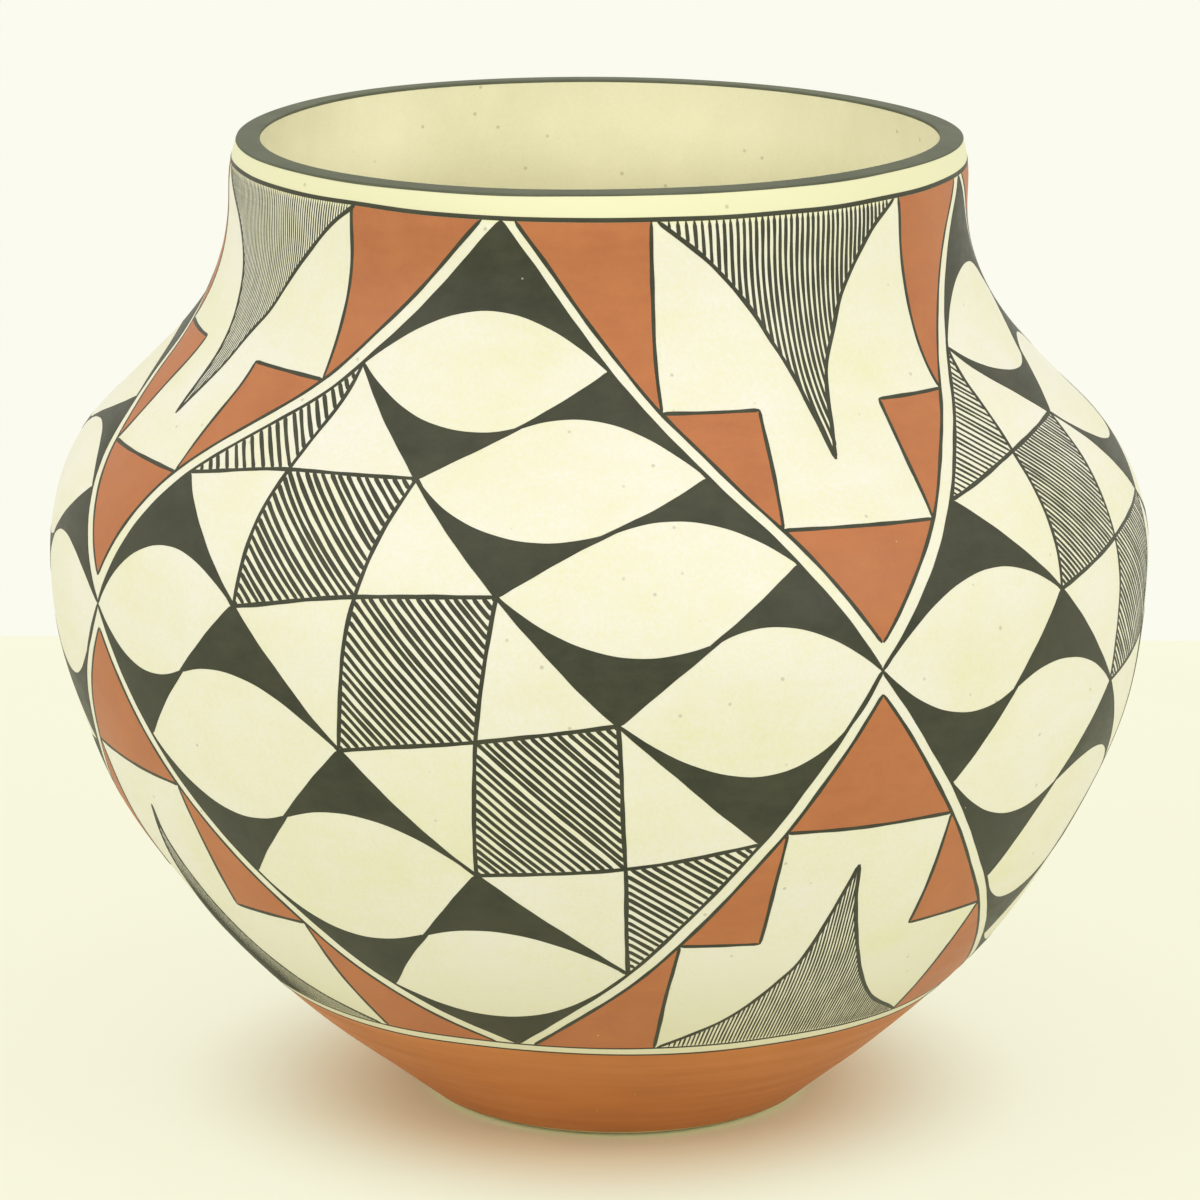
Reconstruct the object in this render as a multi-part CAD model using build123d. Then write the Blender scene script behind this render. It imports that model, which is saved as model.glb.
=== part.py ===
from build123d import *
import os
from math import acos, atan2, ceil, cos, degrees, radians, sin, sqrt

# A hand-coiled pueblo pottery jar with a painted slip.
# Lengths in millimetres, angles in degrees, +Z up, origin under the middle of the resting ring.
# Angles round the jar are measured from -Y towards +X.

# Outline of the finished jar
height = 214.0
belly_radius = 120.0
belly_height = 122.5
foot_radius = 41.0
neck_radius = 79.5
neck_upright = 13.0
lower_wall_shares = ((0.918, 0.708), (0.34, 0.18), (0, 0))
upper_straight_share = 0.05
upper_bend_share = 0.49

# Clay body
wall_thickness = 5.0
floor_thickness = 8.0
floor_corner_radius = 20.0
foot_hollow_depth = 2.5
resting_ring_width = 8.0
foot_edge_width = 1.5
foot_edge_height = 1.2
lap_length = 6.0
coil_joint_shares = (0.105, 0.205, 0.305, 0.405, 0.505, 0.605, 0.7, 0.79, 0.875, 0.955)

# Slips
slip_thickness = 0.3
inside_slip_depth = 60.0
foot_slip_start = 1.5
foot_slip_top = 31.0

# Rim
rim_bevel_drop = 0.5
rim_paint_thickness = 0.35
rim_paint_drop = 1.3

# Painted lines
paint_thickness = 0.15
rim_band_width = 4.6
neck_line_width = 0.9
base_line_width = 0.5
base_gap_width = 1.6
frame_line_width = 0.9
frame_band_width = 2.4

# Painted pattern, repeated round the jar
repeats = 4
pattern_turn = -16.3
sector = 360 / repeats
section_angle = 90
arc_steps = 6
straight_step_angle = 6
point_halvings = 12
leaf_fill_share = 0.14

# Corners of a diamond's 4 by 3 grid: angle from the diamond's middle, share of the painted height.
diamond_shares = (
    ((1.0, 1.0), (18.5, 0.826), (28.8, 0.718), (36.7, 0.632), (45.0, 0.51)),
    ((-17.7, 0.823), (-4.6, 0.716), (6.3, 0.605), (18.3, 0.462), (32.4, 0.305)),
    ((-35.4, 0.687), (-22.5, 0.565), (-10.3, 0.41), (2.8, 0.265), (18.9, 0.127)),
    ((-45.0, 0.51), (-36.3, 0.38), (-25.8, 0.224), (-12.0, 0.085), (3.0, 0.0)),
)
# Stepped fields of a panel: shares of the painted height from the wide end to the point,
# then half angles of the outer field's inner edge and of the step's corner.
neck_panel_shares = (1.0, 0.79, 0.668)
foot_panel_shares = (0.0, 0.16, 0.31)
neck_panel_half_angles = (21.3, 9.2)
foot_panel_half_angles = (21.6, 10.6)
# Curved sides of a panel's hatched field: half angle and share of the height, from the wide end to the tip.
neck_hatch_shares = ((21.0, 1.0), (14.3, 0.96), (8.5, 0.91), (5.0, 0.86), (2.2, 0.8), (0.4, 0.735))
foot_hatch_shares = ((21.6, 0.0), (13.4, 0.035), (8.5, 0.07), (4.8, 0.13), (2.5, 0.185), (0.3, 0.26))

# Worked out from the sizes above
coat_inner = -slip_thickness
clay_inner = coat_inner - wall_thickness
inside_face = clay_inner - slip_thickness
clay_top = height - rim_paint_thickness
neck_height = height - neck_upright
neck_line_top = height - rim_band_width
pattern_top = neck_line_top - neck_line_width
base_line_top = foot_slip_top + base_gap_width + base_line_width
pattern_height = pattern_top - base_line_top
cut_reach = wall_thickness + slip_thickness
far = 2 * belly_radius
frame_shift = frame_line_width / 2 + frame_band_width


def arc_end(direction, chord):
    """Direction at the end of an arc that starts along direction and spans chord."""
    return chord * (2 * direction.dot(chord) / chord.dot(chord)) - direction


def lower_knots():
    """Knots from the foot up to the belly: point, upward direction, and arc to the next knot."""
    point = Vector(belly_radius, belly_height)
    down = Vector(0, -1)
    knots = [(point, -down, True)]
    for out_share, up_share in lower_wall_shares:
        out = foot_radius + out_share * (belly_radius - foot_radius)
        target = Vector(out, up_share * belly_height)
        down = arc_end(down, target - point)
        point = target
        knots.insert(0, (point, -down, True))
    return knots


def upper_knots():
    """Knots above the belly: shoulder arc, short straight, neck arc, upright neck."""
    across = belly_radius - neck_radius
    rise = neck_height - belly_height
    bends = (across**2 + rise**2) / (2 * across) * (1 - upper_straight_share)
    shoulder_bend = bends * upper_bend_share
    neck_bend = bends - shoulder_bend
    shoulder = Vector(belly_radius - shoulder_bend, belly_height)
    neck = Vector(neck_radius + neck_bend, neck_height)
    gap = neck - shoulder
    turn = atan2(gap.Y, gap.X) - acos(bends / gap.length)
    out = Vector(cos(turn), sin(turn))
    along = Vector(-sin(turn), cos(turn))
    up = Vector(0, 1)
    return [
        (shoulder + out * shoulder_bend, along, False),
        (neck - out * neck_bend, along, True),
        (Vector(neck_radius, neck_height), up, False),
        (Vector(neck_radius, height), up, False),
    ]


knots = lower_knots() + upper_knots()


def outward(direction):
    """Normal on the outer side of an upward direction."""
    return Vector(direction.Y, -direction.X)


def outline_place(up):
    """Point of the finished outline at a height, and the outward normal there."""
    pairs = list(zip(knots, knots[1:]))
    chosen = [pair for pair in pairs if up <= pair[1][0].Y]
    (low, direction, is_arc), (high, _, _) = chosen[0] if chosen else pairs[-1]
    normal = outward(direction)
    chord = high - low
    if not is_arc:
        return low + chord * ((up - low.Y) / chord.Y), normal
    bend = 2 * chord.dot(normal) / chord.dot(chord)
    centre = low + normal / bend
    side = sqrt(1 / bend**2 - (up - centre.Y) ** 2)
    point = Vector(centre.X + (side if bend < 0 else -side), up)
    return point, (centre - point) * bend


def outline_edges(offset):
    """Edges of the outline moved outwards by offset, run on past both ends."""
    places = [(point + outward(way) * offset, way, is_arc) for point, way, is_arc in knots]
    first, first_way, _ = places[0]
    last, last_way, _ = places[-1]
    start = first - first_way * wall_thickness
    end = last + last_way * wall_thickness
    edges = [Line(start, first)]
    for (low, way, is_arc), (high, _, _) in zip(places, places[1:]):
        edges.append(TangentArc(low, high, tangent=way) if is_arc else Line(low, high))
    edges.append(Line(last, end))
    return edges, start, end


def band(outer, inner):
    """Section of the layer between two offsets of the outline."""
    outer_edges, outer_start, outer_end = outline_edges(outer)
    inner_edges, inner_start, inner_end = outline_edges(inner)
    ends = [Line(outer_start, inner_start), Line(outer_end, inner_end)]
    return make_face(Curve() + outer_edges + inner_edges + ends)


def core(offset):
    """Section of everything inside an offset of the outline, out to the axis."""
    edges, start, end = outline_edges(offset)
    closing = Polyline(start, Vector(0, start.Y), Vector(0, end.Y), end)
    return make_face(Curve() + edges + closing)


def square_cut(up):
    """Cut across the wall at a height, square to the finished surface."""
    point, normal = outline_place(up)
    return point - normal * cut_reach, point + normal * cut_reach


def lap_cut(up):
    """Slanted cut of a coil joint, low on the inside and high on the outside."""
    point, normal = outline_place(up)
    along = Vector(-normal.Y, normal.X)
    middle = point - normal * (slip_thickness + wall_thickness / 2)
    slant = normal * wall_thickness + along * lap_length
    return middle - slant, middle + slant


def rim_cut():
    """Cut across the top of the wall, falling outwards."""
    inner = Vector(neck_radius + inside_face, clay_top)
    fall = Vector(-inside_face, -rim_bevel_drop)
    return inner - fall, inner + fall * 2


def foot_cut():
    """Cut along the resting ring's flat underside and up its worn outer edge."""
    flat_end = Vector(foot_radius - foot_edge_width, 0)
    point, normal = outline_place(foot_edge_height)
    edge_end = point - normal * slip_thickness
    return flat_end, flat_end + (edge_end - flat_end) * 2


def between(section, low, high):
    """Part of a section above one cut and below another."""
    low_in, low_out = low
    high_in, high_out = high
    points = [
        (0, low_in.Y),
        low_in,
        low_out,
        (far, low_out.Y),
        (far, high_out.Y),
        high_out,
        high_in,
        (0, high_in.Y),
    ]
    return section & make_face(Polyline(*points, close=True))


def turned(section, angle=360):
    """Solid swept by a section drawn in the plane of X and Z."""
    return revolve(Plane.XZ * section, Axis.Z, angle)


def base_section():
    """Bowl-shaped base: floor, rounded inner corner, resting ring and hollow underside."""
    cavity = core(clay_inner) & make_face(
        Polyline((0, floor_thickness), (far, floor_thickness), (far, height), (0, height), close=True)
    )
    corner = cavity.vertices().sort_by(Axis.Y)[:2].sort_by(Axis.X)[-1]
    cavity = fillet(corner, min(floor_corner_radius, foot_radius / 2))
    clay = between(core(coat_inner), foot_cut(), lap_cut(coil_joint_shares[0] * height))
    hollow_radius = foot_radius - resting_ring_width
    hollow = make_face(
        Curve()
        + [
            ThreePointArc((-hollow_radius, 0), (0, foot_hollow_depth), (hollow_radius, 0)),
            Line((-hollow_radius, 0), (hollow_radius, 0)),
        ]
    )
    return clay - cavity - hollow


def surface_point(angle, up):
    """Point of the painted surface at an angle round the jar and a height."""
    point, _ = outline_place(up)
    turn = radians(angle)
    return Vector(point.X * sin(turn), -point.X * cos(turn), up)


def painted_height(share):
    """Height of a share of the painted band, counted from the base lines."""
    return base_line_top + share * pattern_height


def eased(places):
    """The same outline with its long sides cut into short ones, which follow the wall."""
    outline = []
    for start, end in zip(places, places[1:] + places[:1]):
        parts = ceil(abs(end[0] - start[0]) / straight_step_angle) or 1
        outline += [mix(start, end, part / parts) for part in range(parts)]
    return outline


def wedge(places):
    """Pyramid from the axis out through places on the surface, each an angle and a height."""
    places = eased(places)
    left, right = min(angle for angle, _ in places), max(angle for angle, _ in places)
    apex = Vector(0, 0, painted_height(1 / 2))
    turn = radians((left + right) / 2)
    way = Vector(sin(turn), -cos(turn), 0)
    rays = [surface_point(angle, up) - apex for angle, up in places]
    corners = [apex + ray * (far / ray.dot(way)) for ray in rays]
    return loft([make_face(Polyline(*corners, close=True)), Vertex(*apex)], ruled=True)


def mix(first, second, share):
    """Place a share of the way between two places."""
    return tuple(a + (b - a) * share for a, b in zip(first, second))


def bow(start, control, end):
    """Places along a curve from start to end that leans towards control, without its two ends."""
    steps = [step / arc_steps for step in range(1, arc_steps)]
    return [mix(mix(start, control, step), mix(control, end, step), step) for step in steps]


def grid_place(row, column):
    """Corner of the diamond's grid as an angle and a height."""
    angle, share = diamond_shares[row][column]
    return angle, painted_height(share)


def leaf_ground(tip, corner, other_tip, middle, rounded):
    """Black ground in one corner of a leaf's cell, up to the leaf's edge."""
    start = tip if rounded else mix(tip, corner, 1 / 2)
    control = mix(corner, middle, leaf_fill_share)
    return [start, corner, other_tip] + bow(other_tip, control, start)


def leaf_grounds():
    """Black grounds round the leaves of one diamond."""
    fields = []
    columns = len(diamond_shares[0]) - 1
    for row in (0, 2):
        for column in range(columns):
            near, far_corner = grid_place(row, column), grid_place(row + 1, column + 1)
            right, left = grid_place(row, column + 1), grid_place(row + 1, column)
            middle = mix(right, left, 1 / 2)
            fields.append(leaf_ground(left, near, right, middle, column == 0))
            fields.append(leaf_ground(right, far_corner, left, middle, column == columns - 1))
    return fields


def diamond_hatch():
    """Hatched squares down the middle of a diamond, and the hatched corner at each end."""
    columns = range(len(diamond_shares[0]) - 1)
    upper = [grid_place(1, column) for column in range(len(diamond_shares[0]))]
    lower = [grid_place(2, column) for column in range(len(diamond_shares[0]))]
    crossings = [cell_crossing(upper, lower, column) for column in columns]
    fields = [[upper[0], lower[0], crossings[0]], [crossings[-1], upper[-1], lower[-1]]]
    for column in columns[1:]:
        fields.append([crossings[column - 1], upper[column], crossings[column], lower[column]])
    return fields


def cell_crossing(upper, lower, column):
    """Place where the diagonals of a middle cell cross."""
    falling = mix(upper[column], lower[column + 1], 1 / 2)
    rising = mix(upper[column + 1], lower[column], 1 / 2)
    return mix(falling, rising, 1 / 2)


def panel_hatch(shares):
    """Hatched field of a panel, hung from its wide end and drawn in to a tip."""
    places = [(angle, painted_height(share)) for angle, share in shares]
    left = [(sector / 2 - angle, up) for angle, up in places]
    right = [(sector / 2 + angle, up) for angle, up in places]
    return left + right[::-1]


def diamond_sides():
    """The four sides of a diamond from the top down: angles and heights of their corners."""
    rows = range(len(diamond_shares))
    columns = range(len(diamond_shares[0]))
    return {
        ("neck", "right"): [grid_place(0, column) for column in columns],
        ("neck", "left"): [grid_place(row, 0) for row in rows],
        ("foot", "right"): [grid_place(row, columns[-1]) for row in rows],
        ("foot", "left"): [grid_place(rows[-1], column) for column in columns],
    }


def beside(side, up, shift):
    """Angle of a diamond's side at a height, moved out from it by a distance."""
    for (high_angle, high), (low_angle, low) in zip(side, side[1:]):
        if up >= low:
            break
    angle = high_angle + (low_angle - high_angle) * (high - up) / (high - low)
    reach = surface_point(*side[0]) - surface_point(*side[-1])
    point, _ = outline_place(up)
    away = shift * reach.length / abs(reach.Z) / point.X
    return angle + degrees(away)


def stations(start, end):
    """Heights from start to end in even steps."""
    return [start + (end - start) * step / arc_steps for step in range(arc_steps + 1)]


def side_strip(side, way):
    """Line along the outside of a diamond's side, way being 1 on its right and -1 on its left."""
    shift = way * frame_line_width / 2
    outer = [(beside(side, up, shift), up) for angle, up in side if abs(angle) < sector / 2]
    return side + outer[::-1]


def panel_frame(end, up):
    """Angles of a panel's left and right edges at a height."""
    sides = diamond_sides()
    left = beside(sides[end, "right"], up, frame_shift)
    right = beside(sides[end, "left"], up, -frame_shift) + sector
    return left, right


def panel_fields(end, shares, half_angles):
    """Orange fields of the panel that widens towards the neck or the foot."""
    wide, step, inner = [painted_height(share) for share in shares]
    field_half, step_half = half_angles
    centre = sector / 2
    fields = []
    for edge, way in ((0, -1), (1, 1)):
        outer_edge = [(panel_frame(end, up)[edge], up) for up in stations(wide, step)]
        fields.append(outer_edge + [(centre + way * field_half, wide)])
        step_edge = [(panel_frame(end, up)[edge], up) for up in stations(step, inner)]
        fields.append(step_edge + [(centre + way * step_half, step)])
    left, right = panel_frame(end, inner)
    fields.append([(left, inner), (right, inner), (centre, panel_point(end, inner))])
    return fields


def panel_point(end, inner):
    """Height where a panel's two edges meet, found by halving the stretch that it lies in."""
    clear, crossed = inner, painted_height(diamond_shares[0][-1][1])
    for _ in range(point_halvings):
        up = (clear + crossed) / 2
        left, right = panel_frame(end, up)
        clear, crossed = (up, crossed) if left < right else (clear, up)
    return clear


def all_round(solids):
    """The same solids repeated round the jar."""
    turns = [Rot(0, 0, pattern_turn + sector * repeat) for repeat in range(repeats)]
    return Compound([turn * solid for turn in turns for solid in solids])


def painted(fields):
    """Paint films over fields of one repeat, carried round the jar."""
    film_section = between(band(paint_thickness, 0), square_cut(base_line_top), square_cut(pattern_top))
    film = Rot(0, 0, -sector - section_angle) * turned(film_section, 2 * sector)
    films = []
    for field in fields:
        films += (film & wedge(field)).solids()
    return all_round(films)


def ring(low, high):
    """Painted line round the jar between two heights."""
    return turned(between(band(paint_thickness, 0), square_cut(low), square_cut(high)))


def make_pieces():
    """Every piece of the jar under its name."""
    pieces = {"base": turned(base_section())}
    clay = band(coat_inner, clay_inner)
    cuts = [lap_cut(share * height) for share in coil_joint_shares] + [rim_cut()]
    names = [f"coil_course_{number:02d}" for number in range(1, len(coil_joint_shares))] + ["rim_coil"]
    for name, low, high in zip(names, cuts, cuts[1:]):
        pieces[name] = turned(between(clay, low, high))
    coat = band(0, coat_inner)
    pieces["cream_slip_coat"] = turned(between(coat, square_cut(foot_slip_top), rim_cut()))
    pieces["red_slip_coat"] = turned(between(coat, square_cut(foot_slip_start), square_cut(foot_slip_top)))
    inside = band(clay_inner, inside_face)
    pieces["neck_inside_slip"] = turned(between(inside, square_cut(height - inside_slip_depth), rim_cut()))
    pieces["rim_paint"] = rim_paint()
    pieces["neck_line"] = ring(pattern_top, neck_line_top)
    pieces["base_line_upper"] = ring(base_line_top - base_line_width, base_line_top)
    pieces["base_line_lower"] = ring(foot_slip_top - base_line_width, foot_slip_top)
    pieces["leaf_grounds"] = painted(leaf_grounds())
    sides = diamond_sides()
    ways = {"right": 1, "left": -1}
    diamond_lines = [side_strip(side, ways[way]) for (_, way), side in sides.items()]
    pieces["diamond_lines"] = painted(diamond_lines)
    pieces["diamond_hatching"] = painted(diamond_hatch())
    pieces["neck_panel_hatching"] = painted([panel_hatch(neck_hatch_shares)])
    pieces["foot_panel_hatching"] = painted([panel_hatch(foot_hatch_shares)])
    pieces["neck_panel_fields"] = painted(panel_fields("neck", neck_panel_shares, neck_panel_half_angles))
    pieces["foot_panel_fields"] = painted(panel_fields("foot", foot_panel_shares, foot_panel_half_angles))
    return pieces


def rim_paint():
    """Black paint over the top of the wall and a little way down the outside."""
    low_in, low_out = rim_cut()
    lift = Vector(0, rim_paint_thickness)
    whole = band(paint_thickness, inside_face)
    cap = between(whole, rim_cut(), (low_in + lift, low_out + lift))
    skirt = between(band(paint_thickness, 0), square_cut(height - rim_paint_drop), rim_cut())
    return turned(cap + skirt)


if __name__ == "__main__":
    os.makedirs("parts", exist_ok=True)
    for name, piece in make_pieces().items():
        export_step(piece, f"parts/{name}.step")
        print(name, len(piece.solids()), round(piece.volume, 1))
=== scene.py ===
from math import acos, ceil, degrees, pi, radians, sin

import bpy
import numpy as np
from bpy.props import FloatProperty, FloatVectorProperty, IntProperty, PointerProperty
from mathutils import Euler, Matrix, Vector


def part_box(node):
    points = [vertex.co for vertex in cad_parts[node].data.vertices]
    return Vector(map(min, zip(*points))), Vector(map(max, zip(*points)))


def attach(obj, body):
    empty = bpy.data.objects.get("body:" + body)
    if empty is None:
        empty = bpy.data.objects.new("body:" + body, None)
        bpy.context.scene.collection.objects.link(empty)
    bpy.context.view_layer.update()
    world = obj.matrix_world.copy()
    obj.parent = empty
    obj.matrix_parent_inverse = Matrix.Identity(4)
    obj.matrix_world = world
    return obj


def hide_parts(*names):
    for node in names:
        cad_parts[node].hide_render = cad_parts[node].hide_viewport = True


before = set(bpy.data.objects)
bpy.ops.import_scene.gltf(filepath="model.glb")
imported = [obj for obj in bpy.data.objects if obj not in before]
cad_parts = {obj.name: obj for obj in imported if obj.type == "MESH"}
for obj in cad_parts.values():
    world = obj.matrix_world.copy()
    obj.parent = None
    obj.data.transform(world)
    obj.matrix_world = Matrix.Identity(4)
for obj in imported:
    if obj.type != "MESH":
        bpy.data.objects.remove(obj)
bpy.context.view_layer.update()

bl_info = {
    "name": "Pueblo pottery jar",
    "version": (1, 0, 0),
    "blender": (4, 5, 0),
    "location": "3D View > Sidebar > Jar",
    "description": "Builds a hand-coiled pottery jar with its slips and painted pattern, piece by piece",
    "category": "Add Mesh",
}

# Lengths are in metres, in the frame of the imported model, and MM turns millimetres into them.
# Angles round the jar are in degrees from -Y towards +X. A run is a length up the wall's outline.
MM = 0.001

# The solid model's box, and the sizes that the jar takes from it
BELLY_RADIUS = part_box("cream_slip_coat")[1].x
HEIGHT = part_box("rim_paint")[1].z

# Outline: shares of the wall's rise from foot to belly, and how the shoulder and neck share their bend
LOWER_WALL_SHARES = ((0.918, 0.708), (0.34, 0.18), (0, 0))
UPPER_STRAIGHT_SHARE = 0.05
UPPER_BEND_SHARE = 0.49
COIL_JOINT_SHARES = (0.105, 0.205, 0.305, 0.405, 0.505, 0.605, 0.7, 0.79, 0.875, 0.955)
# How far the outline runs on past its two ends
OUTLINE_OVERRUN = 10 * MM

# Uneven rim, rim paint and base line, as waves round the jar: turns, size in millimetres, phase in degrees
RIM_WAVES = ((0, -0.2, 0), (1, 0.46, 30), (2, 0.35, 60))
RIM_PAINT_WAVES = ((0, -0.5, 0), (1, 0.2, 60), (5, 0.08, 20), (13, 0.05, 0))
BASE_WAVES = ((0, -0.38, 0), (3, 0.38, -10), (1, 0.25, -90))
# How far down the wall the rim's waves reach, and how fast the base line's fade out upwards
RIM_WAVE_REACH = 6 * MM
BASE_WAVE_FADE = 22 * MM
# How far down the wall the rim leans in, and how much less its inside does
RIM_LEAN_REACH = 10 * MM
INSIDE_LEAN_LOSS_SHARE = 0.4
# Sideways lean of the hand-built body: height where it is nothing, height it is counted in, coefficients
LEAN_START = 110 * MM
LEAN_UNIT = 100 * MM
LEAN_SHIFTS = (-2.08, 1.49)
# Dents of the hand and wandering of the brush, as seeded waves over the wall: how many, how many turns
# round the jar, and their lengths up it. Dents start above the foot and deepen over a stretch.
WAVE_SEED = 11
DENTS = (14, (2, 9), (26 * MM, 80 * MM))
WANDERINGS = (10, (3, 22), (24 * MM, 90 * MM))
DENT_START = 4 * MM
DENT_GROWTH = 24 * MM

# Foot: width of its worn edge and height where the outer wall starts, then the rounded inside corner:
# height of its top over the floor, and how far in its bend and its end lie
FOOT_EDGE_WIDTH = 1.5 * MM
FOOT_EDGE_HEIGHT = 1.7 * MM
CORNER_HEIGHT = 12 * MM
CORNER_BEND = 11 * MM
CORNER_WIDTH = 24 * MM

# Rim paint: its thickness on top of the clay, and how far below the wall's top the inside slip ends
RIM_PAINT_THICKNESS = 0.35 * MM
INSIDE_SLIP_DROP = 0.65 * MM
# Its section, up its outside, over the top to the inside and back underneath. For each point: millimetres
# above the wall's top, share of the bevel's drop below it, millimetres out from the wall's outside, and
# share of the wall's depth in from there. The first three follow the waves of the paint's lower edge.
RIM_PAINT_SECTION = np.array([
    (0, 1, -0.04, 0), (0, 1, 0.03, 0), (0.04, 1, 0.07, 0), (-0.1, 1, 0.07, 0), (-0.04, 1, 0, 0),
    (0, 1, -0.3, 0), (0, 0.75, -1.3, 0), (0, 0.5, 0, 0.5), (0, 0.15, 1.1, 1), (-0.03, 0, 0.55, 1),
    (-0.12, 0, 0.2, 1), (-0.4, 0, 0, 1), (-0.75, 0, -0.05, 1), (-0.85, 0, 0.1, 1), (-0.6, 0.5, 0, 0.5),
    (-0.6, 1.3, -0.3, 0),
])
LOWER_EDGE_POINTS = 3

# How finely the wall, the paint and the brush lines are divided
OUTLINE_STEP = 0.25 * MM
ROUND_STEPS = 480
CLAY_ROUND_STEPS = 200
WALL_STEP = 1.7 * MM
PAINT_STEP = 1.7 * MM
STROKE_STEP = 1.1 * MM
# Rows of the base: its hollow and its floor each, its outer wall, its inner wall, and the bend inside
FLAT_ROWS, OUTER_ROWS, INNER_ROWS, BEND_ROWS = 12, 16, 5, 12
# Points along a cell's side, its diagonals, a leaf's edge, a chain of sides, a stroke in a cell, an orange
# field's curved and straight sides, a hatched field's sides, its strokes, and a panel's edge
CELL_POINTS, DIAGONAL_POINTS, LEAF_POINTS, CHAIN_POINTS, STROKE_POINTS = 12, 14, 30, 50, 12
CURVE_POINTS, SIDE_POINTS, HATCH_SIDE_POINTS, HATCH_POINTS, PANEL_POINTS = 20, 24, 90, 160, 400

# Paint: how far a film is sunk, its share of thickness along its edges, and how much is trimmed off a
# field's ends, so that no face shrinks to a point
FILM_SINK = 0.04 * MM
FILM_EDGE_SHARE = 0.45
FIELD_TRIM = 0.05 * MM
# Edges between faces that meet at more than this stay sharp
SHARP_ANGLE = radians(40)
# How high each kind of paint stands, in thicknesses, so that films that cross never share a face
LIFTS = {"field": 1.0, "hatching": 1.1, "leaf_edge": 1.2, "line": 1.4, "ring": 1.5, "outline": 1.6}
# Width of the line along a leaf's edge, as a share of a cell's line
LEAF_EDGE_SHARE = 0.6
# A brush line's swellings as share of its width and length of wave, its drift likewise, its ends' width
SWELLS = ((0.1, 3.1 * MM), (0.07, 1.3 * MM))
DRIFT = (0.05, 4.7 * MM)
LINE_END_SHARE = 0.2

# The pattern comes round four times
REPEATS = 4
SECTOR = 360 / REPEATS
# Starts of the random numbers of each kind of brush line. Hatching adds its diamond's or panel's number.
SEEDS = {
    "leaf_edges": 3, "frames": 5, "cells": 6, "diamond_stroke_places": 40, "diamond_strokes": 60,
    "neck_outlines": 80, "foot_outlines": 90, "panel_strokes": 100, "panel_stroke_outlines": 120,
}

# Corners of a diamond's grid, from its upper right side down to its lower left side:
# angle from the diamond's middle, share of the painted height
GRID_SHARES = np.array([
    ((1.9, 1.0), (18.0, 0.831), (29.2, 0.723), (37.1, 0.634), (44.9, 0.506)),
    ((-17.6, 0.825), (-4.65, 0.717), (6.3, 0.605), (18.15, 0.461), (32.8, 0.302)),
    ((-35.3, 0.687), (-22.4, 0.562), (-10.2, 0.409), (2.8, 0.26), (18.9, 0.124)),
    ((-45.1, 0.506), (-36.5, 0.376), (-26.5, 0.216), (-12.8, 0.081), (2.3, 0.0)),
])
# Where the two diagonals of each middle cell cross
CROSSING_SHARES = np.array([(-21.2, 0.71), (-8.3, 0.594), (4.3, 0.437), (18.7, 0.277)])
# How much the second diamond, to the right of the first, is painted off that grid: angle, share
SECOND_GRID_SHIFT_SHARES = np.array([
    ((-1.5, 0.0), (0.0, 0.0), (0.0, 0.0), (0.0, 0.0), (0.0, 0.0)),
    ((1.9, -0.008), (1.4, 0.005), (2.3, -0.002), (1.5, 0.0), (0.5, 0.0)),
    ((3.0, -0.011), (2.2, -0.007), (1.9, 0.002), (1.5, 0.0), (0.0, 0.0)),
    ((0.0, 0.0), (1.2, -0.027), (2.6, -0.02), (1.6, -0.002), (0.0, 0.0)),
])
SECOND_CROSSING_SHIFT_SHARES = np.array([(3.5, -0.004), (2.2, -0.01), (1.5, 0.0), (0.8, 0.0)])
# How much the first diamond's left corner, where it meets the last one, is painted off the grid
LEFT_CORNER_SHIFT_SHARES = np.array((0.45, 0.008))
# Black corners of the leaves, by band and column, the upper corner and then the lower one: share of the
# way from the cell's corner to its middle that the leaf's edge leans to, and share of the edge's own
# length that the leaning point is moved along it
LEAF_SHARES = (
    (
        ((0.18, -0.03), (0.25, 0.04)), ((0.13, 0.05), (0.18, 0.12)),
        ((0.14, -0.02), (0.26, 0.11)), ((0.22, -0.03), (-0.03, -0.11)),
    ),
    (
        ((0.11, -0.02), (0.26, 0.1)), ((0.25, 0.1), (0.24, 0.12)),
        ((0.21, 0.15), (0.15, 0.27)), ((0.24, 0.12), (-0.06, -0.09)),
    ),
)
# Brush strokes in the hatched cells of a diamond, from the top down, as shares of a full square's, and
# how much narrower and closer they are in the other diamonds than in the first
CELL_STROKE_SHARES = (0.72, 0.97, 1.0, 1.0, 0.87)
FINE_DIAMOND_SHARE = 0.75
# The two outermost hatched cells have one side each: its column, and the share of it where it is parted
# in two
OUTER_CELL_SHARES = ((0, 5 / 9), (4, 1 / 2))
# How unevenly the strokes are spaced, as a share of their spacing, and how they bow, in degrees and up
STROKE_JITTER_SHARE = 0.1
STROKE_BOW = (0.05, 0.09 * MM)

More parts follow.
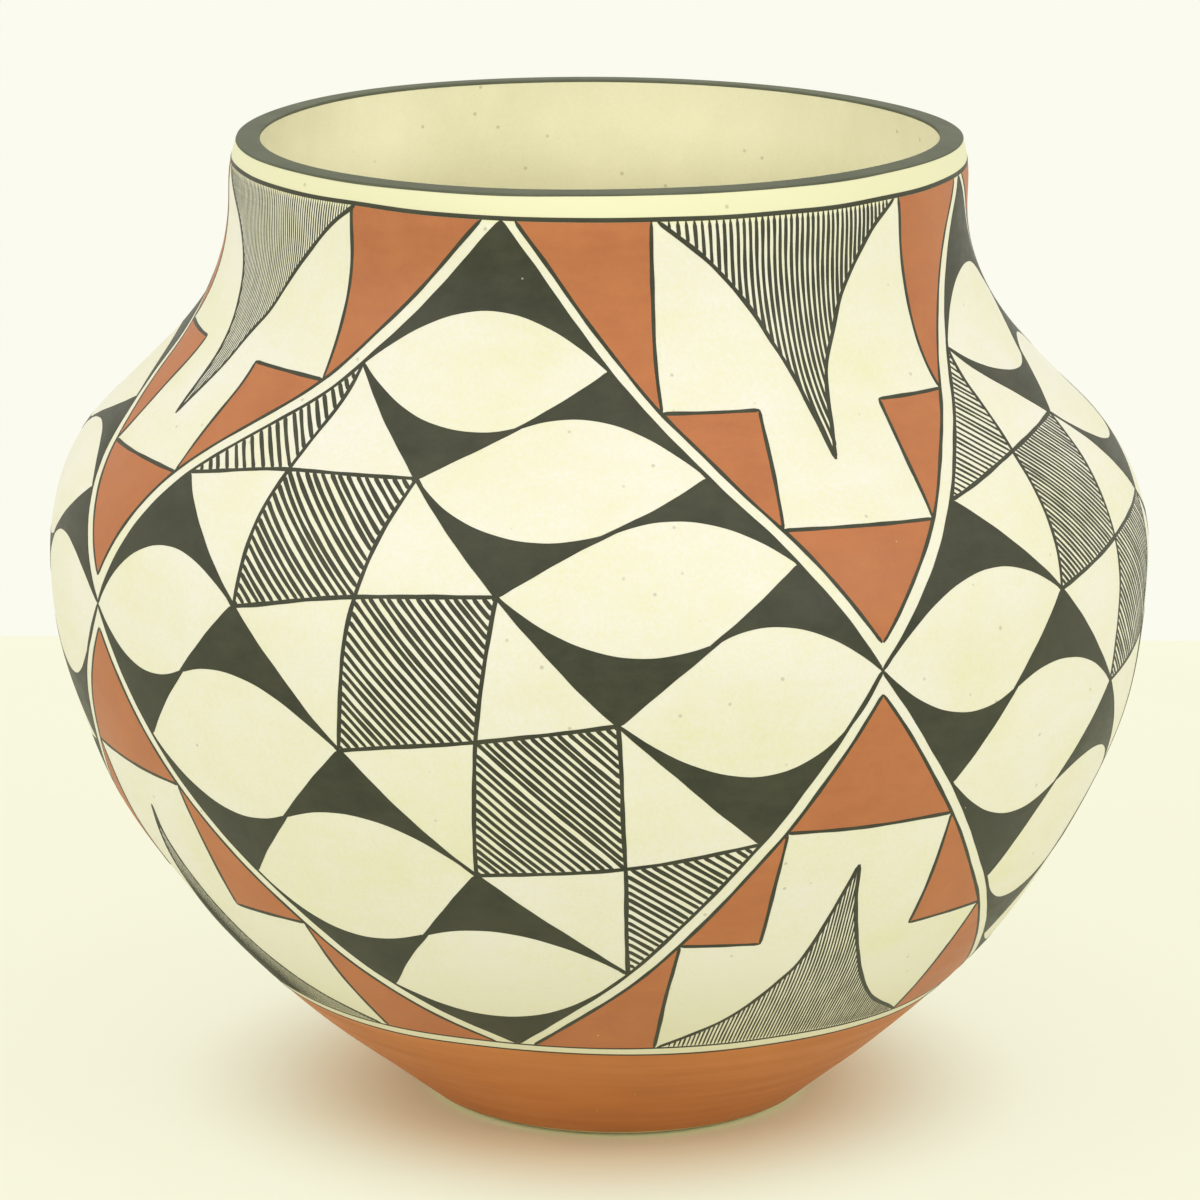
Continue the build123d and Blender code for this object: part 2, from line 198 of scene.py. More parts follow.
# The panels between the diamonds, which widen to the neck line or to the base line.
# fields: one row for each panel round the jar, its left side and then its right side: share of the
#   height of the step at the panel's edge, of the step at its corner, and of the point's wide side, then
#   angles from the panel's middle of the step's corner and of the outer field's inner corner.
# bands: width of the frame's bare band along the left and right edges, at the wide end, the middle and
#   the point, as shares of the frame band's own width.
# sides: curved left and right sides of the hatched field: angle from the middle, share of the height.
# leans: how far that field leans round the jar in each panel, from its wide end to its tip, in degrees.
# fan: degrees that its strokes slant by on their way to the tip, and share that they close in by.
# counts, widths: its strokes in each panel, and their width, as shares of the first neck panel's.
PANELS = {
    "neck": {
        "fields": (
            ((0.786, 0.785, 0.67, -7.4, -20.8), (0.781, 0.783, 0.662, 11.0, 23.1)),
            ((0.795, 0.793, 0.675, -9.0, -20.8), (0.794, 0.796, 0.673, 9.4, 21.9)),
            ((0.79, 0.79, 0.682, -8.4, -21.5), (0.788, 0.79, 0.68, 9.9, 21.4)),
            ((0.807, 0.807, 0.686, -9.8, -22.0), (0.801, 0.803, 0.683, 7.3, 21.4)),
        ),
        "bands": ((0.62, 0.84, 1.0), (0.97, 1.02, 1.08)),
        "sides": (
            ((-19.9, 1.0), (-12.4, 0.954), (-6.9, 0.905), (-3.8, 0.864), (-0.6, 0.806), (0.4, 0.732)),
            ((22.0, 1.0), (16.1, 0.967), (10.3, 0.91), (7.1, 0.859), (4.1, 0.814), (0.4, 0.732)),
        ),
        "leans": (
            (0, 0, 0, 0, 0, 0), (0, 0.3, 0.6, 0.5, 0.3, 0), (0, -0.2, -0.5, -0.8, -0.6, -0.3),
            (0, 0.3, -0.6, -1.7, -2.6, -1.7),
        ),
        "fan": (0.4, 0.25),
        "counts": (1.0, 1.3, 1.2, 1.7),
        "widths": (1.0, 0.77, 0.83, 0.43),
    },
    "foot": {
        "fields": (
            ((0.165, 0.16, 0.314, -10.4, -22.1), (0.158, 0.157, 0.307, 10.2, 21.4)),
            ((0.166, 0.166, 0.305, -10.1, -21.4), (0.164, 0.166, 0.307, 10.9, 21.8)),
            ((0.157, 0.159, 0.308, -10.9, -22.0), (0.158, 0.157, 0.31, 10.2, 21.3)),
            ((0.15, 0.149, 0.315, -8.8, -21.2), (0.15, 0.147, 0.312, 9.9, 25.0)),
        ),
        "bands": ((0.74, 1.0, 0.86), (1.0, 0.87, 0.78)),
        "sides": (
            ((-21.6, 0.0), (-13.8, 0.032), (-9.9, 0.059), (-6.5, 0.096), (-3.9, 0.138), (-0.2, 0.259)),
            ((21.3, 0.0), (12.3, 0.038), (6.8, 0.083), (3.3, 0.136), (0.7, 0.208), (-0.2, 0.259)),
        ),
        "leans": (
            (0, 0, 0, 0, 0, 0), (0, -0.3, -0.5, -0.4, 0, 0.2), (0, 0.2, 0.6, 0.8, 0.5, 0),
            (2.2, 0.6, -0.6, -1.2, -0.4, 1.2),
        ),
        "fan": (-1.2, 0.3),
        "counts": (1.9, 1.85, 1.8, 1.7),
        "widths": (0.53, 0.54, 0.55, 0.38),
    },
}
# How far the outer fields' inner sides sag, in degrees
PANEL_SAG = 0.35
# How the strokes crowd towards a panel's right side, how far past a curved side one may start, in
# degrees, and the fewest points that make a stroke
HATCH_CROWDING = 0.87
HATCH_OVERRUN = 0.2
SHORTEST_STROKE = 4

# Soft lamps round the jar: name, place, width of the disc, power in watts
LAMPS = (
    ("top_lamp", (0.0, -0.25, 1.9), 1.6, 4.2),
    ("left_lamp", (-1.35, -1.0, 1.0), 1.0, 5.9),
    ("right_lamp", (1.35, -1.0, 1.0), 1.0, 6.5),
)
# Two narrow lamps, mirrored, that reach in over the front of the rim: their size, power, beam and the
# beam's softness, then the right one's place and what it is aimed at
MOUTH_LAMP_BEAM = (30 * MM, 10.0, radians(8.4), 1.0)
MOUTH_LAMP_AIM = np.array(((-0.28, -0.76, 0.78), (0.04, 0.06, 0.19)))
WORLD_STRENGTH = 0.93

# Floor: its left, right, front and back edges, points along each side, size of its clouds, the noise
# they start and end at, and their greatest share
FLOOR_EDGES = (-2.4, 2.4, -2.6, 0.391)
FLOOR_POINTS = 9
CLOUD_SIZE = 45 * MM
CLOUD_RANGE = (0.5, 0.75, 0.35)
# Distances from the axis between which the floor's painted shadow tint gives way to painted light, and that
# light's greatest share
PAINTED_SHADOW_REACH = (46 * MM, 105 * MM)
PAINTED_LIGHT_SHARE = 0.8

# Camera: place, tilt down and roll in radians, and the photograph's focal length and side in pixels
CAMERA_PLACE = (0, -1255.3 * MM, 425.8 * MM)
CAMERA_TILT = 0.2466
CAMERA_ROLL = 0.004
FOCAL_PIXELS = 5892.8
PICTURE_PIXELS = 1200
SENSOR_WIDTH = 36.0


def linear(code):
    """Linear red, green and blue of an sRGB hex colour."""
    channels = np.array([int(code[at : at + 2], 16) for at in (1, 3, 5)]) / 255
    return np.where(channels <= 0.04045, channels / 12.92, ((channels + 0.055) / 1.055) ** 2.4).tolist()


def length(name, description, default):
    """A length that a user may change."""
    return FloatProperty(
        name=name, description=description, default=default, min=0, precision=4,
        unit="LENGTH", subtype="DISTANCE",
    )


def colour(name, description, code):
    """A colour that a user may change, written as sRGB hex."""
    return FloatVectorProperty(
        name=name, description=description, default=linear(code), min=0, max=1, size=3, subtype="COLOR",
    )


class JarSizes(bpy.types.PropertyGroup):
    """Sizes of the clay body and its slips."""

    belly_height: length("Belly height", "Height of the widest place", 122.5 * MM)
    foot_radius: length("Foot radius", "Radius of the foot", 41 * MM)
    neck_radius: length("Neck radius", "Outer radius of the upright neck", 79.5 * MM)
    neck_upright: length("Upright neck", "Height of the upright part of the neck", 13 * MM)
    wall_thickness: length("Wall", "Thickness of the clay wall", 5 * MM)
    floor_thickness: length("Floor", "Thickness of the clay under the inside floor", 8 * MM)
    foot_hollow_depth: length("Foot hollow", "Depth of the hollow under the foot", 2.5 * MM)
    resting_ring_width: length("Resting ring", "Width of the ring that the jar rests on", 8 * MM)
    lap_length: length("Lap", "Length of the slanted joint between two coils", 6 * MM)
    slip_thickness: length("Slip", "Thickness of the slips", 0.3 * MM)
    inside_slip_depth: length("Inside slip", "Depth of the slip inside the neck", 60 * MM)
    foot_slip_start: length("Red slip start", "Height where the red slip starts", 1.5 * MM)
    foot_slip_top: length("Red slip top", "Height where the red slip ends", 31 * MM)
    rim_lean: length("Rim lean", "How far the rim leans in over its last centimetre", 1.6 * MM)
    rim_bevel_drop: length("Rim bevel", "Drop of the rim from its inside to its outside", 0.25 * MM)
    dent_depth: length("Dents", "Depth of the shallow dents that the hand leaves", 0.16 * MM)


class PaintSizes(bpy.types.PropertyGroup):
    """Sizes of the painted lines and fields."""

    pattern_turn: FloatProperty(
        name="Pattern turn", description="Angle of the first diamond's middle round the jar",
        default=radians(-16.3), subtype="ANGLE",
    )
    thickness: length("Paint", "Thickness of a painted field", 0.07 * MM)
    rim_band_width: length("Rim band", "Bare slip between the rim's edge and the neck line", 4.6 * MM)
    neck_line: length("Neck line", "Width of the line under the neck band", 0.9 * MM)
    base_line: length("Base lines", "Width of the two lines above the red slip", 0.5 * MM)
    base_gap: length("Base gap", "Bare slip between the two base lines", 1.6 * MM)
    frame_line: length("Frame lines", "Width of the lines that frame a diamond", 0.85 * MM)
    frame_band: length("Frame band", "Bare slip between a diamond's two frame lines", 2.4 * MM)
    field_line: length("Field outlines", "Width of the lines round the orange fields", 0.85 * MM)
    cell_line: length("Cell lines", "Width of the lines inside a diamond", 0.9 * MM)
    hatch_line: length("Hatching", "Width of the brush strokes in the hatched squares", 0.9 * MM)
    panel_hatch_line: length("Panel hatching", "Width of the brush strokes in the panels", 0.74 * MM)
    square_strokes: IntProperty(
        name="Strokes in a square", description="Brush strokes in each hatched square", default=31, min=2,
    )
    panel_strokes: IntProperty(
        name="Strokes in a panel", description="Brush strokes in the hatched field of the first panel",
        default=41, min=2,
    )
    hand_wander: length("Unsteady hand", "How far the brush wanders from a true line", 0.06 * MM)


class JarColours(bpy.types.PropertyGroup):
    """Colours of the clay, slips and paints, and of the studio."""

    cream: colour("Cream slip", "Polished slip on the outside", "#E7E3D7")
    # Its second colour also paints shade on the cream slip's neck band and lower wall.
    cream_shade: colour("Cream slip, thin", "The same slip where it lies thin", "#DFDCB2")
    # Set paler than the slip is: painted light for the shaded inside of the neck.
    inside: colour("Inside slip", "Slip inside the neck", "#FBF6D2")
    grit: colour("Grit", "Dark grains in slip and clay", "#8F8460")
    black: colour("Black paint", "Mineral black", "#2D2F1E")
    black_thin: colour("Black paint, thin", "The same black where the brush ran dry", "#41422E")
    # The rim's two blacks are greyer and paler than the black paint: painted highlight of the rim's top.
    rim_black: colour("Rim paint", "The black on the rim", "#3E4330")
    rim_black_pale_highlight: colour("Rim paint, worn", "The same black where hands rubbed it", "#5E624A")
    orange: colour("Orange paint", "Burnt clay paint of the stepped fields", "#A86133")
    orange_thin: colour("Orange paint, thin", "The same paint where it lies thin", "#BA7340")
    red: colour("Red slip", "Slip of the base", "#CB7C35")
    red_dark: colour("Red slip, thick", "The same slip where it lies thick", "#B06628")
    # Set paler than fired clay is: painted light that throws more light round the inside of the jar.
    clay: colour("Fired clay", "Bare clay inside and under the foot", "#F1E3C0")
    floor: colour("Floor", "The studio's floor", "#F0F2DE")
    floor_cloud: colour("Floor, clouds", "Faint clouds on the floor", "#EDEAD0")
    # Yellower than the floor: a painted tint for the jar's shadow close to it.
    floor_shadow_tint: colour("Floor, near", "The floor close to the jar", "#F8F8D2")
    # Painted light: the even lit colour that the camera sees away from the jar, in place of the jar's shadow.
    floor_painted_light: colour("Floor, lit", "What the camera sees of the lit floor", "#F8F7DC")
    backdrop: colour("Backdrop", "What the camera sees beyond the floor", "#FBFBEF")


def arc(start, way, end):
    """Points and directions of the arc that leaves start along way and reaches end.

    Points are complex, radius plus i times height. With a the angle from way to the chord c, the point
    at share t is start + way exp(i a t) |c| sin(a t) / sin(a), and the direction way exp(2 i a t).
    """
    chord = end - start
    bend = float(np.angle(chord / way))
    straight = abs(bend) < 1e-9
    total = abs(chord) * (1 if straight else bend / sin(bend))
    share = np.linspace(0, 1, ceil(total / OUTLINE_STEP) + 1)
    reach = share if straight else np.sin(bend * share) / sin(bend)
    return start + way * np.exp(1j * bend * share) * abs(chord) * reach, way * np.exp(2j * bend * share)


def chain(arcs):
    """One outline from arcs that follow each other: points and directions."""
    return [np.concatenate([part[at][:-1] for part in arcs] + [arcs[-1][at][-1:]]) for at in (0, 1)]


def lower_outline(sizes):
    """Outline from the foot up to the belly: three arcs, each tangent to the one above it."""
    point, way, arcs = complex(BELLY_RADIUS, sizes.belly_height), -1j, []
    for out_share, up_share in LOWER_WALL_SHARES:
        out = sizes.foot_radius + out_share * (BELLY_RADIUS - sizes.foot_radius)
        target = complex(out, up_share * sizes.belly_height)
        arcs.append(arc(point, way, target))
        point, way = target, arcs[-1][1][-1]
    points, ways = chain(arcs)
    return points[::-1], -ways[::-1]


def upper_outline(sizes):
    """Outline from the belly to the rim: shoulder arc, short straight, neck arc, upright neck."""
    neck_height = HEIGHT - sizes.neck_upright
    across, rise = BELLY_RADIUS - sizes.neck_radius, neck_height - sizes.belly_height
    bends = (across**2 + rise**2) / (2 * across) * (1 - UPPER_STRAIGHT_SHARE)
    shoulder_bend = bends * UPPER_BEND_SHARE
    neck_bend = bends - shoulder_bend
    belly = complex(BELLY_RADIUS, sizes.belly_height)
    shoulder = belly - shoulder_bend
    neck = complex(sizes.neck_radius + neck_bend, neck_height)
    gap = neck - shoulder
    out = np.exp(1j * (np.angle(gap) - acos(bends / abs(gap))))
    first, second = shoulder + out * shoulder_bend, neck - out * neck_bend
    upright = complex(sizes.neck_radius, neck_height)
    rim = complex(sizes.neck_radius, HEIGHT)
    return chain([
        arc(belly, 1j, first), arc(first, 1j * out, second), arc(second, 1j * out, upright),
        arc(upright, 1j, rim),
    ])


class Wall:
    """The jar's wall, as a surface of two parameters: the angle round the jar and the run up its outline.

    A lift is a distance off the finished surface along its normal, negative inside the wall.
    """

    def __init__(self, context):
        self.sizes, self.paint = context.scene.jar_sizes, context.scene.jar_paint
        # Lifts of the clay's outside, which is under the slip, and of its inside
        self.outer = -self.sizes.slip_thickness
        self.inner = self.outer - self.sizes.wall_thickness
        lower, upper = lower_outline(self.sizes), upper_outline(self.sizes)
        points, ways = (np.concatenate((low, high[1:])) for low, high in zip(lower, upper))
        before, after = points[0] - OUTLINE_OVERRUN * ways[0], points[-1] + OUTLINE_OVERRUN * ways[-1]
        points = np.concatenate(([before], points, [after]))
        self.normals = -1j * np.concatenate((ways[:1], ways, ways[-1:]))
        self.runs = np.concatenate(([0], np.cumsum(np.abs(np.diff(points))))) - OUTLINE_OVERRUN
        self.radii, self.heights = points.real, points.imag
        self.top = self.runs[-1] - OUTLINE_OVERRUN
        self.base_run = float(self.run_at(self.sizes.foot_slip_top))
        random = np.random.default_rng(WAVE_SEED)
        self.dent_waves = self.waves(random, *DENTS)
        self.wander_waves = [self.waves(random, *WANDERINGS) for _ in range(2)]

    @staticmethod
    def waves(random, count, turns, lengths):
        """Seeded waves over the wall: whole turns round the jar, wave number up it, and phase."""
        return np.stack((
            random.integers(turns[0], turns[1] + 1, count) * random.choice((-1, 1), count),
            2 * pi / random.uniform(*lengths, count),
            random.uniform(0, 2 * pi, count),
        ))

    @staticmethod
    def ripple(waves, angle, run):
        """Sum of the waves sin(n a + k s + p), scaled to a spread of about 1."""
        turns, numbers, phases = waves
        phase = np.radians(angle)[..., None] * turns + run[..., None] * numbers + phases
        return np.sin(phase).sum(-1) / np.sqrt(len(phases) / 2)

    @staticmethod
    def wave(table, angle):
        """Sum of a table's waves round the jar, each size cos(turns a - phase), in millimetres."""
        return sum(size * np.cos(np.radians(turns * angle - phase)) for turns, size, phase in table) * MM

    def slide(self, angle, run):
        """Shift up the wall of all that meets the base line, which the painter drew by eye."""
        fade = np.exp(-np.maximum(run - self.base_run, 0) / BASE_WAVE_FADE)
        return fade * np.clip(run / self.base_run, 0, 1) * self.wave(BASE_WAVES, angle)

    def run_at(self, height):
        """Run up the outline at a height."""
        return np.interp(height, self.heights, self.runs)

    def radius_at(self, run):
        """Radius of the outline at a run."""
        return np.interp(run, self.runs, self.radii)

    def offset(self, run, lift):
        """Radius and height at a run of the outline and a lift off it."""
        out, up = (np.interp(run, self.runs, part) for part in (self.normals.real, self.normals.imag))
        return self.radius_at(run) + lift * out, np.interp(run, self.runs, self.heights) + lift * up

    def near_top(self, run, reach):
        """Share that grows as the square from 0, a reach below the wall's top, to 1 at the top."""
        return np.clip((run - self.top) / reach + 1, 0, 1) ** 2

    def lean(self, height):
        """Sideways shift of the hand-built body: a h + b h^2, with h the height over the lean's start."""
        rise = (height - LEAN_START) / LEAN_UNIT
        return (LEAN_SHIFTS[0] * rise + LEAN_SHIFTS[1] * rise**2) * MM

    def turn(self, angle, radius, height):
        """Points (r sin a + lean, -r cos a, z)."""
        around = np.radians(angle)
        return np.stack(np.broadcast_arrays(
            radius * np.sin(around) + self.lean(height), -radius * np.cos(around), height,
        ), -1)

    def place(self, angle, run, lift=0.0):
        """Points of the wall: the outline plus its normal times lift and dents, turned round the axis."""
        angle, run, lift = (np.asarray(part, float) for part in np.broadcast_arrays(angle, run, lift))
        run = run + self.slide(angle, run)
        fade = np.clip((run - DENT_START) / DENT_GROWTH, 0, 1)
        dents = self.sizes.dent_depth * fade * self.ripple(self.dent_waves, angle, run)
        radius, height = self.offset(run, lift + dents)
        depth = np.clip(-lift / self.sizes.wall_thickness, 0, 1)
        near_rim = self.near_top(run, RIM_LEAN_REACH)
        radius = radius - self.sizes.rim_lean * near_rim * (1 - INSIDE_LEAN_LOSS_SHARE * depth)
        uneven = self.near_top(run, RIM_WAVE_REACH) * self.wave(RIM_WAVES, angle)
        return self.turn(angle, radius, height + uneven)

    def wander(self, places):
        """Places (angle, run) moved by the painter's unsteady hand, a slow ripple in both directions."""
        angle, run = places[..., 0], places[..., 1]
        sideways, upwards = (
            self.paint.hand_wander * self.ripple(waves, angle, run) for waves in self.wander_waves
        )
        return np.stack((angle + np.degrees(sideways / self.radius_at(run)), run + upwards), -1)

    def travel(self, path):
        """Distance covered along a path of (angle, run), measured on the wall."""
        radius = self.radius_at((path[1:, 1] + path[:-1, 1]) / 2)
        steps = np.hypot(np.radians(np.diff(path[:, 0])) * radius, np.diff(path[:, 1]))
        return np.concatenate(([0], np.cumsum(steps)))

    def even(self, path, spacing=0.0, count=None):
        """The same path with its points an even distance apart, given by spacing or by count."""
        far = self.travel(path)
        count = count or max(3, ceil(far[-1] / spacing) + 1)
        return follow(path, far, np.linspace(0, far[-1], count))

    def beside(self, path, distance):
        """The path moved to its left by a distance, as seen from outside."""
        radius = self.radius_at(path[:, 1])
        across = np.gradient(np.radians(path[:, 0])) * radius
        along = np.gradient(path[:, 1])
        reach = distance / np.hypot(across, along)
        return path + np.stack((np.degrees(-along * reach / radius), across * reach), -1)


def follow(path, far, at):
    """Places on a path at the values at, far holding the value at each of its own points."""
    return np.stack([np.interp(at, far, path[:, part]) for part in (0, 1)], -1)


def spline(points, at):
    """Smooth curve through points, which it meets at whole numbers, made of cubics.

    Between points b and c, with neighbours a and d, it is
    b + t (c - a)/2 + t^2 (2a - 5b + 4c - d)/2 + t^3 (3b - a - 3c + d)/2.
    """
    points = np.asarray(points, float)
    padded = np.concatenate(([2 * points[0] - points[1]], points, [2 * points[-1] - points[-2]]))
    first = np.clip(np.floor(at).astype(int), 0, len(points) - 2)
    share = (np.asarray(at) - first)[:, None]
    a, b, c, d = (padded[first + step] for step in range(4))
    return (
        b
        + share * (c - a) / 2
        + share**2 * (2 * a - 5 * b + 4 * c - d) / 2
        + share**3 * (3 * b - a - 3 * c + d) / 2
    )


def bow(start, control, end, count):
    """Curve from start to end that leans towards control: (1-t)^2 start + 2t(1-t) control + t^2 end."""
    share = np.linspace(0, 1, count)[:, None]
    return (1 - share) ** 2 * start + 2 * share * (1 - share) * control + share**2 * end


def quads(rows, columns, wrap_rows=False, wrap_columns=False):
    """Corners of the quads of a grid of points, closed in the directions that wrap."""
    row = np.arange(rows - (not wrap_rows))[:, None]
    column = np.arange(columns - (not wrap_columns))[None, :]
    next_row, next_column = (row + 1) % rows, (column + 1) % columns
    corners = (
        row * columns + column,
        row * columns + next_column,
        next_row * columns + next_column,
        next_row * columns + column,
    )
    return np.stack(np.broadcast_arrays(*corners), -1).reshape(-1, 4)


def end_caps(rows, columns):
    """Quads that close the two ends of a film whose rows are rings: top points, then bottom ones back."""
    top = np.arange(columns // 2 - 1)
    bottom = columns - 1 - top
    first = np.stack((top, bottom, bottom - 1, top + 1), -1)
    last = first[:, ::-1] + (rows - 1) * columns
    return np.concatenate((first, last))


def make_piece(name, shape, material, nodes):
    """Object of this shape, its points and groups of faces, which rides on the jar for these nodes."""
    points, groups = shape
    mesh = bpy.data.meshes.new(name)
    mesh.from_pydata(points.reshape(-1, 3), [], [face for group in groups for face in group.tolist()])
    mesh.polygons.foreach_set("use_smooth", np.ones(len(mesh.polygons), bool))
    mesh.set_sharp_from_angle(angle=SHARP_ANGLE)
    mesh.materials.append(material)
    mesh.validate()
    made = bpy.data.objects.new(name, mesh)
    bpy.context.scene.collection.objects.link(made)
    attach(made, "root")
    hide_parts(*nodes)
    return made


def tube(points):
    """Shape of a grid of points that closes in both directions."""
    return points, [quads(*points.shape[:2], wrap_rows=True, wrap_columns=True)]


def round_angles(steps):
    """Angles of the columns of a ring."""
    return np.linspace(-180, 180, steps, endpoint=False)


def turned(wall, section, round_steps):
    """Closed ring: a section, a loop of (run, lift) from the outside's foot upwards, at every angle."""
    return tube(wall.place(round_angles(round_steps)[None, :], section[:, :1], section[:, 1:]))


def layer_section(low, high, outer, inner, low_slant=0.0, high_slant=0.0):
    """Loop of (run, lift) round a layer between two runs and two lifts.

    A slant moves the run up on the outside and down on the inside, as at a lapped joint.
    """
    steps = ceil((high - low) / WALL_STEP) + 1
    up = np.linspace(low + low_slant, high + high_slant, steps)
    down = np.linspace(high - high_slant, low - low_slant, max(3, steps // 3))
    outside = np.stack((up, np.full_like(up, outer)), -1)
    inside = np.stack((down, np.full_like(down, inner)), -1)
    return np.concatenate((outside, inside))


def film(wall, fields, lift):
    """Closed films of paint over fields, each a grid of (angle, run).

    A film's top is the wall lifted by lift, and by a share of it along the field's edges. Its bottom is
    the same places sunk a little into the wall. Rows run over the top and back underneath.
    """
    points, faces, start = [], [], 0
    for field in fields:
        across, along = field[:-1, 1:] - field[:-1, :-1], field[1:, :-1] - field[:-1, :-1]
        if (across[..., 0] * along[..., 1] - across[..., 1] * along[..., 0]).sum() < 0:
            field = field[:, ::-1]
        rows, columns = field.shape[:2]
        lifts = np.full((rows, columns), lift)
        lifts[[0, -1]] *= FILM_EDGE_SHARE
        lifts[1:-1, [0, -1]] *= FILM_EDGE_SHARE
        angle, run = np.moveaxis(wall.wander(field), -1, 0)
        top, bottom = wall.place(angle, run, lifts), wall.place(angle, run, -FILM_SINK)
        points.append(np.concatenate((top, bottom[:, ::-1]), 1).reshape(-1, 3))
        faces.append(quads(rows, 2 * columns, wrap_columns=True) + start)
        faces.append(end_caps(rows, 2 * columns) + start)
        start += 2 * rows * columns
    return np.concatenate(points), faces


def ring_film(wall, low, high, lift):
    """Closed film of paint round the jar between two runs, highest in its middle and sunk at its edges."""
    run = np.array([low, low, (low + high) / 2, high, high])[:, None]
    edge = lift * FILM_EDGE_SHARE
    lifts = np.array([-FILM_SINK, edge, lift, edge, -FILM_SINK])[:, None]
    places = np.stack(np.broadcast_arrays(round_angles(2 * ROUND_STEPS)[None, :], run), -1)
    angle, run = np.moveaxis(wall.wander(places), -1, 0)
    return tube(wall.place(angle, run, lifts))


def field_between(wall, first, second):
    """Field between two sides given as paths, which may meet in a point at their ends.

    Its place at the shares (t, u) is first(t) (1 - u) + second(t) u, t being a share of each side's length.
    """
    far = max(wall.travel(first)[-1], wall.travel(second)[-1])
    trim = FIELD_TRIM / far
    share = np.linspace(trim, 1 - trim, max(4, ceil(far / PAINT_STEP) + 1))
    first, second = (
        follow(side, wall.travel(side) / wall.travel(side)[-1], share) for side in (first, second)
    )
    radius = wall.radius_at(first[:, 1])
    span = np.hypot(np.radians(second[:, 0] - first[:, 0]) * radius, second[:, 1] - first[:, 1]).max()
    share = np.linspace(0, 1, max(3, ceil(span / PAINT_STEP) + 1))[None, :, None]
    return first[:, None] * (1 - share) + second[:, None] * share


def stroke(wall, path, width, random):
    """Brush line along a path, its width swelling slowly and its ends drawn in.

    At distance s its half width is width / 2 (1 + sum of a sin(s / l + p)) sqrt(e), e being the distance to
    the nearer end in widths, kept from the end's share to 1. Its middle drifts off the path in a like wave.
    """
    path = wall.even(np.asarray(path, float), STROKE_STEP)
    far = wall.travel(path)
    *phases, drift_phase = random.uniform(0, 2 * pi, len(SWELLS) + 1)
    swell = 1 + sum(size * np.sin(far / wave + phase) for (size, wave), phase in zip(SWELLS, phases))
    ends = np.minimum(far, far[-1] - far) / width
    half = width / 2 * swell * np.sqrt(np.clip(ends, LINE_END_SHARE, 1))
    drift = DRIFT[0] * width * np.sin(far / DRIFT[1] + drift_phase)
    right, left = wall.beside(path, drift - half), wall.beside(path, drift + half)
    share = np.linspace(0, 1, 3)[None, :, None]
    return right[:, None] * (1 - share) + left[:, None] * share


class Diamond:
    """One diamond of the pattern, its places being angles round the jar and runs up the wall."""

    def __init__(self, pattern, number):
        self.wall = pattern.wall
        second = number == 1
        grid = GRID_SHARES + second * SECOND_GRID_SHIFT_SHARES
        crossings = CROSSING_SHARES + second * SECOND_CROSSING_SHIFT_SHARES
        corner = {0: (3, 0), REPEATS - 1: (0, 4)}.get(number)
        if corner:
            grid[corner] += LEFT_CORNER_SHIFT_SHARES
        turn = (degrees(pattern.paint.pattern_turn) + SECTOR * number, 0)
        self.grid, self.crossings = pattern.places(grid) + turn, pattern.places(crossings) + turn

    @staticmethod
    def grid_line(points, start, end):
        """Part of the smooth line through points of the grid, from one of them to another."""
        return spline(points, np.linspace(start, end, 2 + ceil(CELL_POINTS * abs(end - start))))

    def row_line(self, row, start, end):
        """Part of the line along one row of the grid."""
        return self.grid_line(self.grid[row], start, end)

    def column_line(self, column, start, end):
        """Part of the line along one column of the grid."""
        return self.grid_line(self.grid[:, column], start, end)

    def diagonal(self, column, rises, start, end):
        """Part of a middle cell's diagonal that rises or falls to the right, its crossing being at 1."""
        ends = (self.grid[1 + rises, column], self.grid[2 - rises, column + 1])
        return spline([ends[0], self.crossings[column], ends[1]], np.linspace(start, end, DIAGONAL_POINTS))

    def leaf_sides(self, row, column, lower):
        """The sides and the leaf's edge that bound the black ground in one corner of a leaf's cell."""
        tips = self.grid[row + 1, column], self.grid[row, column + 1]
        if lower:
            upright = self.column_line(column + 1, row if column == 3 else row + 1 / 2, row + 1)
            level = self.row_line(row + 1, column + 1, column)
        else:
            upright = self.column_line(column, row + 1 if column == 0 else row + 1 / 2, row)
            level = self.row_line(row, column, column + 1)
        fill, along = LEAF_SHARES[row // 2][column][int(lower)]
        corner, middle = level[0], (tips[0] + tips[1]) / 2
        control = corner + fill * (middle - corner) + along * (level[-1] - upright[0])
        return np.concatenate((upright, level[1:])), bow(upright[0], control, level[-1], LEAF_POINTS)

    def hatched_cells(self):
        """For each hatched cell, two chains of two sides that its strokes run between."""
        lefts = [(self.diagonal(c, 0, 2, 1), self.diagonal(c, 1, 1, 2)) for c in range(4)]
        rights = [(self.diagonal(c, 1, 0, 1), self.diagonal(c, 0, 1, 0)) for c in range(4)]
        outer = []
        for column, share in OUTER_CELL_SHARES:
            side = self.column_line(column, 2, 1)
            cut = int(len(side) * share)
            outer.append((side[: cut + 1], side[cut:]))
        return list(zip([outer[0], *lefts], [*rights, outer[1]]))

    def hatching(self, counts, random):
        """Paths of the strokes in the hatched cells, evenly spaced and a little bowed."""
        paths = []
        for cell, count in zip(self.hatched_cells(), counts):
            chains = [
                np.concatenate([self.wall.even(side, count=CHAIN_POINTS) for side in sides]) for sides in cell
            ]
            far = sum(self.wall.travel(sides) for sides in chains)
            jitter = random.uniform(-STROKE_JITTER_SHARE, STROKE_JITTER_SHARE, count)
            share = (np.arange(count) + 0.5 + jitter) / count
            order = np.arange(len(far))
            at = np.interp(share * far[-1], far, order)
            for start, end in zip(*(follow(sides, order, at) for sides in chains)):
                middle = (start + end) / 2 + random.normal(0, 1, 2) * STROKE_BOW
                paths.append(bow(start, middle, end, STROKE_POINTS))
        return paths


